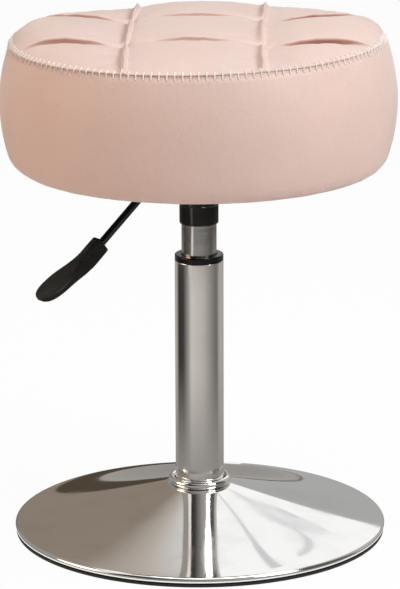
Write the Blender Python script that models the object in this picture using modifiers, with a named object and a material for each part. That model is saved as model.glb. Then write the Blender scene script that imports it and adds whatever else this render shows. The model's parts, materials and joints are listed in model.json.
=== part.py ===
"""Vanity stool: a tufted round seat on a gas-lift column and a chromed trumpet base.

Metres, +Z up, origin on the floor under the column. The seat is at its lowest position.
"""

import math

import bmesh
import bpy
from mathutils import Matrix, Vector

# Clearances
GAP = 0.0003  # between pieces that touch
RUNNING_GAP = 0.0004  # between pieces that slide or turn in each other

# Base
BASE_RADIUS = 0.1925
BASE_CROWN_Z = 0.0485  # top of the shell's flat collar round the column
BASE_COLLAR_WIDTH = 0.008
BASE_CONCAVITY = 1.2  # 1 is a straight cone, more hollows the trumpet
BASE_SHEET = 0.0015
RIM_BEAD = 0.0035  # outer radius of the rolled rim
EDGE_RING_HEIGHT = 0.003
EDGE_RING_WIDTH = 0.0145
EDGE_RING_SETBACK = 0.001
EDGE_LIP_HEIGHT = 0.003
STIFFENER_SHEET = 0.002
STIFFENER_Z = 0.006  # underside of the stiffener's flat floor
STIFFENER_FLANGE = 0.026
HUB_WALL = 0.0085
HUB_FOOT_WIDTH = 0.012
HUB_FOOT_HEIGHT = 0.003

# Column
COLUMN_RADIUS = 0.025
COLUMN_WALL = 0.0015
COLUMN_FOOT_Z = 0.0065
COLUMN_TOP_Z = 0.2875
TAPER_DROP = 0.0008  # radius that the column loses in the hub
FOOT_LIP_WIDTH = 0.002
TRIM_HEIGHT = 0.0095
TRIM_WIDTH = 0.007
TRIM_FULLNESS = 0.6  # 1 is a half ellipse, less is squarer
BUSH_LIP = 0.006
BUSH_LENGTH = 0.075
END_PLATE = 0.0035

# Thrust bearing and gas spring
WASHER = 0.0015
WASHER_RADIUS = 0.0145
BALL_RADIUS = 0.002
BALL_COUNT = 8
CAGE_SHEET = 0.0018
CAGE_WIDTH = 0.006
BUMPER_HEIGHT = 0.013
BUMPER_RADIUS = 0.0125
ROD_RADIUS = 0.005
ROD_END_Z = 0.0035
CLIP_SHEET = 0.0012
CLIP_WIDTH = 0.0035
CLIP_MOUTH = 0.0066
GROOVE_DEPTH = 0.0009
CYLINDER_RADIUS = 0.018
CYLINDER_WALL = 0.002
CYLINDER_LIP = 0.0015
CYLINDER_TAPER_DROP = 0.0007
SEAL_HEIGHT = 0.015
PISTON_HEIGHT = 0.010
PISTON_GROOVE = 0.003
PISTON_STUD_RADIUS = 0.0035
STROKE = 0.120
EXPOSED_TUBE = 0.0325  # bright tube seen between bush and collar
VALVE_HEIGHT = 0.022
PIN_RADIUS = 0.003
PIN_LENGTH = 0.0176
PIN_PROJECTION = 0.0056

# Collar and seat plate
COLLAR_HEIGHT = 0.037
COLLAR_WALL = 0.002
COLLAR_STEP_Z = 0.020  # height on the collar where it widens
COLLAR_STEP = 0.0025
COLLAR_FLANGE_WIDTH = 0.010
COLLAR_FLANGE = 0.0035
COLLAR_NECK = 0.002  # stands up through the plate
TAPER_LENGTH = 0.038
PLATE_SHEET = 0.002
TRAY_DEPTH = 0.0241
TRAY_FLOOR_HALF = 0.058
TRAY_MOUTH_HALF = 0.072
PLATE_MARGIN = 0.0155  # from a bolt's middle to the plate's edge
PLATE_CORNER = 0.020
BOLT_SPACING = 0.153
BOLT_RADIUS = 0.003
BOLT_HEAD_RADIUS = 0.0058
BOLT_HEAD_HEIGHT = 0.004

# Lever
LEVER_TURN = math.radians(218)  # direction of the handle seen from above
PIVOT_REACH = 0.042
LEVER_ROD_RADIUS = 0.004
LEVER_LIFT = math.radians(4.5)
LEVER_BEND_REACH = 0.0614
LEVER_BEND_RADIUS = 0.012
LEVER_DROP = math.radians(38.8)
LEVER_TAIL = 0.004  # past the middle of the valve pin
SLOPE_LENGTH = 0.0813  # from the bend to the handle
HANDLE_DROP = math.radians(33)
HANDLE_SOCKET = 0.026
BRACKET_SHEET = 0.002
BRACKET_LENGTH = 0.016
TRUNNION_RADIUS = 0.003
TRUNNION_BLOCK = 0.011
SLOT_CLEARANCE = 0.0015
HANDLE_SQUARENESS = 0.32  # 1 is an oval section, less is squarer
# Distance along the handle, width, thickness; its top face runs straight on from the neck
HANDLE_STATIONS = (
    (0.0000, 0.0105, 0.0160),
    (0.0015, 0.0120, 0.0180),
    (0.0200, 0.0120, 0.0185),
    (0.0290, 0.0145, 0.0170),
    (0.0385, 0.0188, 0.0138),
    (0.0475, 0.0232, 0.0100),
    (0.0560, 0.0262, 0.0078),
    (0.0650, 0.0275, 0.0070),
    (0.0730, 0.0272, 0.0062),
    (0.0800, 0.0235, 0.0058),
    (0.0850, 0.0165, 0.0052),
    (0.0878, 0.0085, 0.0042),
)
HANDLE_NECK = 2  # the station where the neck starts to turn into the blade
HANDLE_BLADE = 6  # the station where the blade is flat

# Seat
SEAT_RADIUS = 0.2012
SEAT_HEIGHT = 0.129  # from the underside to the seam
WIDEST_HEIGHT = 0.071
SEAM_RADIUS = 0.190
SIDE_DRAW_IN = 0.013
SIDE_POWER = 2.2
SHOULDER_POWER = 1.75
CORNER_HEIGHT = 0.015
COVER = 0.002
COVER_TURN_UNDER = 0.0125  # width stapled under the board
BOARD = 0.012
T_NUT_RADIUS = 0.009
T_NUT_FLANGE = 0.0015
T_NUT_BARREL = 0.001
T_NUT_DEPTH = 0.008
DUST_COVER = 0.001

# Tufted top
TUFT_HALF = 0.067  # from the middle to a sewn line
TUFT_TURN = math.radians(-1.5)
TUFT_SHIFT = -0.0035  # sideways, at the middle of the top
PAD_EDGE = 0.0012
CROWN_HEIGHT = 0.0163  # of the middle panel
ROW_FALL = 0.010  # how much the crown drops towards the front and the back
CORNER_FALL = 0.005  # how much it drops towards the corner panels
EDGE_ROLL = 0.045  # width of the roll down to the seam
ROLL_POWER = 2.3
PLEAT_DIP = 0.62  # share of the crown that is lost at a pleat
PLEAT_DIP_WIDTH = 0.024
CREASE_AT_PLEAT = 0.0035  # depth of a crease where it meets a pleat
SIDE_CREASE = 0.004  # how much deeper it is at the middle of a side panel
MIDDLE_CREASE = 0.001  # and at the middle of a middle panel
CREASE_FRONT = 0.010  # width of a crease's gentle front slope
CREASE_BACK = 0.006  # width of its steep back slope
CREASE_POWER = 1.2
PLEAT_HEIGHT = 0.0072
PLEAT_LEFT = 0.0036  # width of a pleat's left slope
PLEAT_RIGHT = 0.0026
PLEAT_POWER = 1.4
PLEAT_FADE = 0.012  # a pleat ends this far from a crease
PLEAT_AT_RIM = 0.1  # share of a pleat that is left at the seam
PLEAT_RIM_FADE = 0.008
PANEL_STEPS = 10
LINE_CROWDING = 0.88  # 0 spaces the mesh lines evenly, 1 packs them at the sewn lines

# Facets of the round pieces
BASE_SEGMENTS = 56
SEAT_SEGMENTS = 48
TUBE_SEGMENTS = 32
INNER_SEGMENTS = 24
SMALL_SEGMENTS = 16
BOLT_SEGMENTS = 12

# Heights and widths that follow from the sizes above
END_PLATE_Z = COLUMN_FOOT_Z + COLUMN_WALL + GAP
WASHER_Z = END_PLATE_Z + END_PLATE + GAP
CAGE_Z = WASHER_Z + WASHER + GAP
UPPER_WASHER_Z = CAGE_Z + 2 * BALL_RADIUS + GAP
BUMPER_Z = UPPER_WASHER_Z + WASHER + GAP
CYLINDER_Z = BUMPER_Z + BUMPER_HEIGHT + GAP
SEAL_Z = CYLINDER_Z + CYLINDER_LIP + GAP
PISTON_Z = SEAL_Z + SEAL_HEIGHT + STROKE + GAP
BUSH_TOP_Z = COLUMN_TOP_Z + GAP + BUSH_LIP
COLLAR_Z = BUSH_TOP_Z + EXPOSED_TUBE
CYLINDER_TOP_Z = COLLAR_Z + TAPER_LENGTH
VALVE_TOP_Z = CYLINDER_TOP_Z - CYLINDER_LIP - GAP
PIN_TOP_Z = CYLINDER_TOP_Z + PIN_PROJECTION
LEVER_Z = PIN_TOP_Z + RUNNING_GAP + LEVER_ROD_RADIUS
PIN_TRAVEL = PIVOT_REACH * LEVER_LIFT
TRAY_Z = COLLAR_Z + COLLAR_HEIGHT + GAP
PLATE_TOP_Z = TRAY_Z + TRAY_DEPTH
DUST_COVER_Z = PLATE_TOP_Z + GAP
BOARD_Z = DUST_COVER_Z + DUST_COVER + GAP
SEAT_Z = BOARD_Z - GAP - COVER
SEAM_Z = SEAT_Z + SEAT_HEIGHT
PLATE_HALF = BOLT_SPACING / 2 + PLATE_MARGIN
COLUMN_INNER = COLUMN_RADIUS - COLUMN_WALL
CYLINDER_INNER = CYLINDER_RADIUS - CYLINDER_WALL


# Scene helpers


def clear_scene():
    for obj in list(bpy.data.objects):
        bpy.data.objects.remove(obj, do_unlink=True)


def collection(name):
    made = bpy.data.collections.new(name)
    bpy.context.scene.collection.children.link(made)
    return made


def finish(name, colour, roughness, metallic=0.0):
    made = bpy.data.materials.new(name)
    made.use_nodes = True
    shader = made.node_tree.nodes["Principled BSDF"]
    shader.inputs["Base Color"].default_value = (*colour, 1.0)
    shader.inputs["Roughness"].default_value = roughness
    shader.inputs["Metallic"].default_value = metallic
    return made


CHROME = ((0.78, 0.78, 0.79), 0.06, 1.0)
STEEL = ((0.55, 0.55, 0.56), 0.35, 1.0)
SATIN_STEEL = ((0.62, 0.61, 0.60), 0.22, 1.0)
BLACK_STEEL = ((0.012, 0.012, 0.012), 0.30)
BLACK_PLASTIC = ((0.013, 0.013, 0.013), 0.45)
RUBBER = ((0.012, 0.012, 0.012), 0.80)
LEATHER = ((0.74, 0.50, 0.43), 0.42)
PLYWOOD = ((0.52, 0.36, 0.20), 0.70)
FOAM = ((0.82, 0.76, 0.58), 0.90)
CLOTH = ((0.015, 0.015, 0.016), 0.95)


def empty(name, parent=None, location=(0, 0, 0), turn=0.0):
    made = bpy.data.objects.new(name, None)
    made.location = location
    made.rotation_euler.z = turn
    made.parent = parent
    parts.objects.link(made)
    return made


def add_object(name, data, parent, look=None):
    """Links a part, or a cutter when it has no look."""
    obj = bpy.data.objects.new(name, data)
    obj.parent = parent
    if look:
        data.materials.append(finish(name, *look))
        parts.objects.link(obj)
    else:
        obj.hide_render = True
        obj.display_type = "WIRE"
        cutters.objects.link(obj)
    return obj


def from_bmesh(name, bm, parent, look=None):
    bmesh.ops.recalc_face_normals(bm, faces=bm.faces)
    mesh = bpy.data.meshes.new(name)
    bm.to_mesh(mesh)
    bm.free()
    return add_object(name, mesh, parent, look)


def turned(name, profile, parent, look, segments):
    """Sweeps a profile round Z: outer side first and downwards, closed unless it starts on the axis."""
    mesh = bpy.data.meshes.new(name)
    bm = bmesh.new()
    points = [bm.verts.new((radius, 0.0, z)) for radius, z in profile]
    ends = points[1:] + points[:1] if profile[0][0] > 0 else points[1:]
    for start, end in zip(points, ends):
        bm.edges.new((start, end))
    bm.to_mesh(mesh)
    bm.free()
    obj = add_object(name, mesh, parent, look)
    screw = obj.modifiers.new("turn", "SCREW")
    screw.steps = screw.render_steps = segments
    screw.use_merge_vertices = True
    screw.merge_threshold = 0.00001
    screw.use_smooth_shade = True
    return obj


def ring(name, inner, outer, z, height, parent, look, segments):
    top = z + height
    profile = ((outer, top), (outer, z), (inner, z), (inner, top))
    return turned(name, profile, parent, look, segments)


def box(name, size, centre, parent, look=None):
    bm = bmesh.new()
    bmesh.ops.create_cube(bm, size=1.0)
    bmesh.ops.scale(bm, vec=size, verts=bm.verts)
    bmesh.ops.translate(bm, vec=centre, verts=bm.verts)
    return from_bmesh(name, bm, parent, look)


def rod_along(name, radius, start, end, parent, look=None, segments=SMALL_SEGMENTS):
    """A cylinder between two points."""
    axis = Vector(end) - Vector(start)
    middle = (Vector(start) + Vector(end)) / 2
    place = Matrix.Translation(middle) @ axis.to_track_quat("Z", "Y").to_matrix().to_4x4()
    bm = bmesh.new()
    bmesh.ops.create_cone(
        bm, cap_ends=True, segments=segments, radius1=radius, radius2=radius, depth=axis.length, matrix=place
    )
    return from_bmesh(name, bm, parent, look)


def lofted(name, rings, parent, look, capped=True):
    """Skins rings that have the same number of points."""
    bm = bmesh.new()
    loops = [[bm.verts.new(point) for point in points] for points in rings]
    for near, far in zip(loops, loops[1:]):
        for i in range(len(near)):
            j = (i + 1) % len(near)
            bm.faces.new((near[i], near[j], far[j], far[i]))
    if capped:
        bm.faces.new(loops[0])
        bm.faces.new(loops[-1])
    return from_bmesh(name, bm, parent, look)


def boolean(obj, other, operation):
    modifier = obj.modifiers.new(other.name, "BOOLEAN")
    modifier.operation = operation
    modifier.solver = "EXACT"
    modifier.object = other


def arc(centre, radius, start, end, steps):
    """Profile points on an arc from start to end, in degrees."""
    angles = (math.radians(start + (end - start) * i / steps) for i in range(steps + 1))
    return [(centre[0] + radius * math.cos(a), centre[1] + radius * math.sin(a)) for a in angles]


# Base


def shell_z(radius):
    """Height of the trumpet's outer face."""
    start = COLUMN_RADIUS + BASE_COLLAR_WIDTH
    end = BASE_RADIUS - RIM_BEAD
    low = EDGE_RING_HEIGHT + GAP + 2 * RIM_BEAD
    share = min(max((radius - start) / (end - start), 0.0), 1.0)
    return low + (BASE_CROWN_Z - low) * (1 - share) ** BASE_CONCAVITY


def shell_radii(steps):
    start = COLUMN_RADIUS + BASE_COLLAR_WIDTH
    end = BASE_RADIUS - RIM_BEAD
    return [start + (end - start) * i / steps for i in range(steps + 1)]


def base_shell(parent):
    centre = (BASE_RADIUS - RIM_BEAD, EDGE_RING_HEIGHT + GAP + RIM_BEAD)
    hole = COLUMN_RADIUS + GAP
    outer = [(hole, BASE_CROWN_Z)] + [(r, shell_z(r)) for r in shell_radii(5)]
    outer += arc(centre, RIM_BEAD, 90, -90, 4)[1:]
    inner = arc(centre, RIM_BEAD - BASE_SHEET, -90, 90, 2)
    inner += [(r, shell_z(r) - BASE_SHEET) for r in reversed(shell_radii(3)[:-1])]
    inner += [(hole, BASE_CROWN_Z - BASE_SHEET)]
    turned("base_shell", outer + inner, parent, CHROME, BASE_SEGMENTS)


def base_edge_ring(parent):
    outer = BASE_RADIUS - EDGE_RING_SETBACK
    inner = outer - EDGE_RING_WIDTH
    lip = BASE_RADIUS - RIM_BEAD - GAP
    top = EDGE_RING_HEIGHT
    profile = (
        (outer, top), (outer, 0.0), (inner, 0.0), (inner, top + EDGE_LIP_HEIGHT),
        (lip, top + EDGE_LIP_HEIGHT), (lip, top),
    )
    turned("base_edge_ring", profile, parent, RUBBER, BASE_SEGMENTS)


def base_stiffener(parent):
    """A pressed plate: a flange against the shell, and a flat floor that carries the hub."""
    outer = BASE_RADIUS - 2 * RIM_BEAD - EDGE_RING_WIDTH / 2
    fold = outer - STIFFENER_FLANGE
    hole = COLUMN_RADIUS + HUB_WALL / 2
    floor = STIFFENER_Z + STIFFENER_SHEET
    under = BASE_SHEET + GAP
    toe = fold - STIFFENER_SHEET - (shell_z(fold) - floor)
    profile = (
        (outer, shell_z(outer) - under), (outer, shell_z(outer) - under - STIFFENER_SHEET),
        (fold, shell_z(fold) - under - STIFFENER_SHEET), (toe, STIFFENER_Z), (hole, STIFFENER_Z),
        (hole, floor), (toe - STIFFENER_SHEET, floor), (fold - STIFFENER_SHEET, shell_z(fold) - under),
    )
    turned("base_stiffener", profile, parent, STEEL, TUBE_SEGMENTS)


def taper_radius(z):
    """Outer radius of the column, which narrows inside the hub."""
    share = (BASE_CROWN_Z - z) / (BASE_CROWN_Z - COLUMN_FOOT_Z)
    return COLUMN_RADIUS - TAPER_DROP * max(share, 0.0)


def base_hub(parent):
    bottom = STIFFENER_Z + STIFFENER_SHEET + GAP
    top = BASE_CROWN_Z - BASE_SHEET - GAP
    outer = COLUMN_RADIUS + HUB_WALL
    foot = bottom + HUB_FOOT_HEIGHT
    neck = COLUMN_RADIUS + BASE_COLLAR_WIDTH - BASE_SHEET
    profile = (
        (neck, top), (outer, top - 2 * HUB_FOOT_HEIGHT), (outer, foot), (outer + HUB_FOOT_WIDTH, foot),
        (outer + HUB_FOOT_WIDTH, bottom), (taper_radius(bottom) + GAP, bottom),
        (taper_radius(top) + GAP, top),
    )
    turned("base_hub", profile, parent, STEEL, TUBE_SEGMENTS)


def column_tube(parent):
    foot = taper_radius(COLUMN_FOOT_Z)
    lip = foot - COLUMN_WALL - FOOT_LIP_WIDTH
    lip_top = COLUMN_FOOT_Z + COLUMN_WALL
    profile = (
        (COLUMN_RADIUS, COLUMN_TOP_Z), (COLUMN_RADIUS, BASE_CROWN_Z), (foot, COLUMN_FOOT_Z),
        (lip, COLUMN_FOOT_Z), (lip, lip_top), (foot - COLUMN_WALL, lip_top),
        (COLUMN_INNER, BASE_CROWN_Z), (COLUMN_INNER, COLUMN_TOP_Z),
    )
    turned("column_tube", profile, parent, CHROME, TUBE_SEGMENTS)


def column_trim_ring(parent):
    """A half-round bead over the joint of column and shell."""
    inner = COLUMN_RADIUS + GAP
    bottom = BASE_CROWN_Z + GAP
    half = TRIM_HEIGHT / 2
    bulge = [
        (inner + TRIM_WIDTH * math.cos(a) ** TRIM_FULLNESS, bottom + half + half * math.sin(a))
        for a in (math.radians(d) for d in range(75, -76, -25))
    ]
    profile = [(inner, bottom + TRIM_HEIGHT)] + bulge + [(inner, bottom)]
    turned("column_trim_ring", profile, parent, CHROME, TUBE_SEGMENTS)


def column_guide_bush(parent):
    bore = CYLINDER_RADIUS + RUNNING_GAP
    outer = COLUMN_INNER - GAP
    lip = COLUMN_TOP_Z + GAP
    chamfer = COLUMN_WALL / 2
    profile = (
        (COLUMN_RADIUS - chamfer, BUSH_TOP_Z), (COLUMN_RADIUS, BUSH_TOP_Z - chamfer), (COLUMN_RADIUS, lip),
        (outer, lip), (outer, BUSH_TOP_Z - BUSH_LENGTH), (bore, BUSH_TOP_Z - BUSH_LENGTH), (bore, BUSH_TOP_Z),
    )
    turned("column_guide_bush", profile, parent, BLACK_PLASTIC, TUBE_SEGMENTS)


def column_end_plate(parent):
    bore = ROD_RADIUS + RUNNING_GAP
    outer = taper_radius(END_PLATE_Z) - COLUMN_WALL - GAP
    ring("column_end_plate", bore, outer, END_PLATE_Z, END_PLATE, parent, STEEL, INNER_SEGMENTS)


# Thrust bearing and gas spring


def bearing_washer(name, z, parent):
    ring(name, ROD_RADIUS + RUNNING_GAP, WASHER_RADIUS, z, WASHER, parent, STEEL, INNER_SEGMENTS)


def bearing_ball_cage(parent):
    pitch = (ROD_RADIUS + WASHER_RADIUS) / 2
    inner, outer = pitch - CAGE_WIDTH / 2, pitch + CAGE_WIDTH / 2
    middle = CAGE_Z + BALL_RADIUS
    bottom = middle - CAGE_SHEET / 2
    cage = ring("bearing_ball_cage", inner, outer, bottom, CAGE_SHEET, parent, STEEL, INNER_SEGMENTS)
    bm = bmesh.new()
    for i in range(BALL_COUNT):
        angle = 2 * math.pi * i / BALL_COUNT
        place = Matrix.Translation((pitch * math.cos(angle), pitch * math.sin(angle), middle))
        bmesh.ops.create_uvsphere(bm, u_segments=8, v_segments=4, radius=BALL_RADIUS, matrix=place)
    boolean(cage, from_bmesh("bearing_balls", bm, parent), "UNION")


def clip_z():
    return END_PLATE_Z - GAP - CLIP_SHEET


def piston_rod(parent):
    groove_top = clip_z() + CLIP_SHEET + GAP / 2
    groove_bottom = clip_z() - GAP
    groove = ROD_RADIUS - GROOVE_DEPTH
    stud_top = PISTON_Z + GAP + PISTON_HEIGHT
    profile = (
        (0.0, stud_top), (PISTON_STUD_RADIUS, stud_top), (PISTON_STUD_RADIUS, PISTON_Z),
        (ROD_RADIUS, PISTON_Z), (ROD_RADIUS, groove_top), (groove, groove_top), (groove, groove_bottom),
        (ROD_RADIUS, groove_bottom), (ROD_RADIUS, ROD_END_Z), (0.0, ROD_END_Z),
    )
    turned("piston_rod", profile, parent, CHROME, SMALL_SEGMENTS)


def rod_retaining_clip(parent):
    inner = ROD_RADIUS - GROOVE_DEPTH + GAP
    outer = inner + CLIP_WIDTH
    clip = ring("rod_retaining_clip", inner, outer, clip_z(), CLIP_SHEET, parent, STEEL, SMALL_SEGMENTS)
    mouth = box("clip_mouth", (outer, CLIP_MOUTH, 3 * CLIP_SHEET), (outer, 0, clip_z()), parent)
    boolean(clip, mouth, "DIFFERENCE")


def rod_bumper(parent):
    bore = ROD_RADIUS + GAP
    top = BUMPER_Z + BUMPER_HEIGHT
    waist = BUMPER_RADIUS - BUMPER_HEIGHT / 6
    profile = (
        (waist, top), (BUMPER_RADIUS, BUMPER_Z + BUMPER_HEIGHT * 0.75), (waist, BUMPER_Z + BUMPER_HEIGHT / 2),
        (BUMPER_RADIUS, BUMPER_Z + BUMPER_HEIGHT / 4), (waist, BUMPER_Z), (bore, BUMPER_Z), (bore, top),
    )
    turned("rod_bumper", profile, parent, RUBBER, SMALL_SEGMENTS)


def piston(parent):
    outer = CYLINDER_INNER - RUNNING_GAP
    bottom = PISTON_Z + GAP
    top = bottom + PISTON_HEIGHT
    middle = (bottom + top) / 2
    groove = outer - PISTON_GROOVE / 2
    bore = PISTON_STUD_RADIUS + GAP
    profile = (
        (outer, top), (outer, middle + PISTON_GROOVE / 2), (groove, middle + PISTON_GROOVE / 2),
        (groove, middle - PISTON_GROOVE / 2), (outer, middle - PISTON_GROOVE / 2), (outer, bottom),
        (bore, bottom), (bore, top),
    )
    turned("piston", profile, parent, STEEL, INNER_SEGMENTS)


def cylinder_radius(z):
    """Outer radius of the gas cylinder, which narrows inside the collar."""
    share = (z - COLLAR_Z) / TAPER_LENGTH
    return CYLINDER_RADIUS - CYLINDER_TAPER_DROP * max(share, 0.0)


def gas_cylinder(parent):
    top = cylinder_radius(CYLINDER_TOP_Z)
    lip = CYLINDER_INNER - 2 * CYLINDER_LIP
    inner_top = top - CYLINDER_WALL
    profile = (
        (top, CYLINDER_TOP_Z), (CYLINDER_RADIUS, COLLAR_Z), (CYLINDER_RADIUS, CYLINDER_Z), (lip, CYLINDER_Z),
        (lip, CYLINDER_Z + CYLINDER_LIP), (CYLINDER_INNER, CYLINDER_Z + CYLINDER_LIP),
        (CYLINDER_INNER, COLLAR_Z), (inner_top, CYLINDER_TOP_Z - CYLINDER_LIP),
        (lip - CYLINDER_LIP, CYLINDER_TOP_Z - CYLINDER_LIP),
        (lip - CYLINDER_LIP, CYLINDER_TOP_Z),
    )
    turned("gas_cylinder", profile, parent, SATIN_STEEL, TUBE_SEGMENTS)


def cylinder_end_seal(parent):
    bore = ROD_RADIUS + RUNNING_GAP
    outer = CYLINDER_INNER - GAP
    ring("cylinder_end_seal", bore, outer, SEAL_Z, SEAL_HEIGHT, parent, RUBBER, TUBE_SEGMENTS)


def valve_housing(parent):
    """A plug in the top of the cylinder with a blind bore for the pin."""
    bottom = VALVE_TOP_Z - VALVE_HEIGHT
    outer = cylinder_radius(CYLINDER_TOP_Z) - CYLINDER_WALL - GAP
    bore = PIN_RADIUS + RUNNING_GAP
    bore_end = PIN_TOP_Z - PIN_LENGTH - PIN_TRAVEL - GAP
    profile = (
        (0.0, bore_end), (bore, bore_end), (bore, VALVE_TOP_Z), (outer, VALVE_TOP_Z),
        (outer, bottom), (0.0, bottom),
    )
    turned("valve_housing", profile, parent, STEEL, TUBE_SEGMENTS)


def release_pin(parent):
    chamfer = PIN_RADIUS / 4
    bottom = PIN_TOP_Z - PIN_LENGTH
    profile = (
        (0.0, PIN_TOP_Z), (PIN_RADIUS - chamfer, PIN_TOP_Z), (PIN_RADIUS, PIN_TOP_Z - chamfer),
        (PIN_RADIUS, bottom), (0.0, bottom),
    )
    turned("release_pin", profile, parent, STEEL, SMALL_SEGMENTS)


# Collar and seat plate


def taper_socket(parent):
    """The black collar: a tapered sleeve that widens to a flange under the plate, with a neck through it."""
    outer = CYLINDER_RADIUS + COLLAR_WALL
    boss = outer + COLLAR_STEP
    flange_top = COLLAR_Z + COLLAR_HEIGHT
    flange_edge = boss + COLLAR_FLANGE_WIDTH
    step = COLLAR_Z + COLLAR_STEP_Z
    lip = COLLAR_WALL / 2
    neck_top = flange_top + GAP + PLATE_SHEET + COLLAR_NECK
    profile = (
        (outer, neck_top), (outer, flange_top), (flange_edge, flange_top),
        (flange_edge, flange_top - COLLAR_FLANGE), (boss, flange_top - COLLAR_FLANGE),
        (boss, step + COLLAR_STEP / 2), (outer, step),
        (outer, COLLAR_Z + 2 * lip), (outer - 0.3 * lip, COLLAR_Z + 0.5 * lip), (outer - lip, COLLAR_Z),
        (CYLINDER_RADIUS + GAP, COLLAR_Z), (cylinder_radius(neck_top) + GAP, neck_top),
    )
    turned("taper_socket", profile, parent, BLACK_STEEL, TUBE_SEGMENTS)


def rounded_square(half, corner, z, steps=4):
    """Points round a square with round corners, starting on the first corner's arc."""
    points = []
    for quarter in range(4):
        turn = math.radians(90 * quarter)
        for i in range(steps + 1):
            a = turn + math.radians(90) * i / steps
            x = (half - corner) * (math.cos(turn) - math.sin(turn)) + corner * math.cos(a)
            y = (half - corner) * (math.sin(turn) + math.cos(turn)) + corner * math.sin(a)
            points.append((x, y, z))
    return points


def round_hole(radius, z, steps=4):
    """Points round a hole, as many as a rounded square has and in the same order."""
    count = 4 * (steps + 1)
    angles = [2 * math.pi * (i + 0.5) / count for i in range(count)]
    return [(radius * math.cos(a), radius * math.sin(a), z) for a in angles]


def bolt_places():
    half = BOLT_SPACING / 2
    return [(sx * half, sy * half) for sx, sy in ((1, 1), (-1, 1), (-1, -1), (1, -1))]


def drill_bolt_holes(obj, radius, bottom, top, parent):
    for i, (x, y) in enumerate(bolt_places()):
        hole = rod_along(f"{obj.name}_hole_{i + 1}", radius, (x, y, bottom), (x, y, top), parent)
        boolean(obj, hole, "DIFFERENCE")


def seat_plate(parent):
    """A pressed tray: a floor with a hole for the collar, sloping walls and a bolting flange."""
    hole = CYLINDER_RADIUS + COLLAR_WALL + 2 * GAP
    upper = PLATE_TOP_Z
    floor = TRAY_Z + PLATE_SHEET
    rings = (
        round_hole(hole, floor), rounded_square(TRAY_FLOOR_HALF, PLATE_CORNER, floor),
        rounded_square(TRAY_MOUTH_HALF, PLATE_CORNER, upper), rounded_square(PLATE_HALF, PLATE_CORNER, upper),
    )
    plate = lofted("seat_plate", rings, parent, BLACK_STEEL, capped=False)
    sheet = plate.modifiers.new("sheet", "SOLIDIFY")
    sheet.thickness = PLATE_SHEET
    sheet.offset = -1.0
    sheet.use_even_offset = True
    half_slot = LEVER_ROD_RADIUS + SLOT_CLEARANCE
    wall = TRAY_FLOOR_HALF - 2 * PLATE_SHEET
    low = TRAY_Z + PLATE_SHEET + 2 * GAP
    high = LEVER_Z + half_slot + (TRAY_MOUTH_HALF - PIVOT_REACH) * math.sin(LEVER_LIFT)
    slot_size = (TRAY_MOUTH_HALF + 2 * PLATE_SHEET - wall, 2 * half_slot, high - low)
    slot = box("lever_slot", slot_size, (wall + slot_size[0] / 2, 0, (low + high) / 2), parent)
    boolean(plate, slot, "DIFFERENCE")
    drill_bolt_holes(plate, BOLT_RADIUS + RUNNING_GAP, upper - 2 * PLATE_SHEET, upper + PLATE_SHEET, parent)


def ear_spacing():
    """Inside width between the bracket's ears."""
    return TRUNNION_BLOCK + 2 * RUNNING_GAP


def lever_bracket(parent):
    """A U-shaped clip on the tray's floor with a hole for the trunnion in each ear."""
    bottom = TRAY_Z + PLATE_SHEET + GAP
    top = LEVER_Z + TRUNNION_BLOCK / 2
    width = ear_spacing() + 2 * BRACKET_SHEET
    middle = (bottom + top) / 2
    size = (BRACKET_LENGTH, width, top - bottom)
    bracket = box("lever_bracket", size, (PIVOT_REACH, 0, middle), parent, STEEL)
    rounding = bracket.modifiers.new("edges", "BEVEL")
    rounding.width = BRACKET_SHEET / 2
    rounding.segments = 1
    room = box(
        "bracket_room", (2 * BRACKET_LENGTH, ear_spacing(), top - bottom),
        (PIVOT_REACH, 0, middle + BRACKET_SHEET), parent,
    )
    boolean(bracket, room, "DIFFERENCE")
    ends = [(PIVOT_REACH, side * width, LEVER_Z) for side in (-1, 1)]
    hole = rod_along("bracket_hole", TRUNNION_RADIUS + RUNNING_GAP, *ends, parent)
    boolean(bracket, hole, "DIFFERENCE")


def seat_bolts(parent):
    head_top = PLATE_TOP_Z - PLATE_SHEET - GAP
    tip = BOARD_Z + BOARD - T_NUT_FLANGE / 2
    for i, (x, y) in enumerate(bolt_places()):
        name = f"seat_bolt_{i + 1}"
        head = (x, y, head_top - BOLT_HEAD_HEIGHT)
        bolt = rod_along(name, BOLT_HEAD_RADIUS, head, (x, y, head_top), parent, STEEL, segments=6)
        inside_head = (x, y, head_top - BOLT_HEAD_HEIGHT / 2)
        ends = inside_head, (x, y, tip)
        shank = rod_along(f"{name}_shank", BOLT_RADIUS, *ends, parent, segments=BOLT_SEGMENTS)
        boolean(bolt, shank, "UNION")


def t_nuts(parent):
    top = BOARD_Z + BOARD
    bore = BOLT_RADIUS + RUNNING_GAP
    barrel = bore + T_NUT_BARREL
    profile = (
        (T_NUT_RADIUS, top), (T_NUT_RADIUS, top - T_NUT_FLANGE), (barrel, top - T_NUT_FLANGE),
        (barrel, top - T_NUT_DEPTH), (bore, top - T_NUT_DEPTH), (bore, top),
    )
    for i, (x, y) in enumerate(bolt_places()):
        nut = turned(f"t_nut_{i + 1}", profile, parent, STEEL, BOLT_SEGMENTS)
        nut.location = (x, y, 0)


# Lever


def slope_point(distance, drop=LEVER_DROP):
    """A point on the rod's sloping run, from the bend, in the pivot's frame."""
    return Vector((LEVER_BEND_REACH - PIVOT_REACH + distance * math.cos(drop), 0, -distance * math.sin(drop)))


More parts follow.
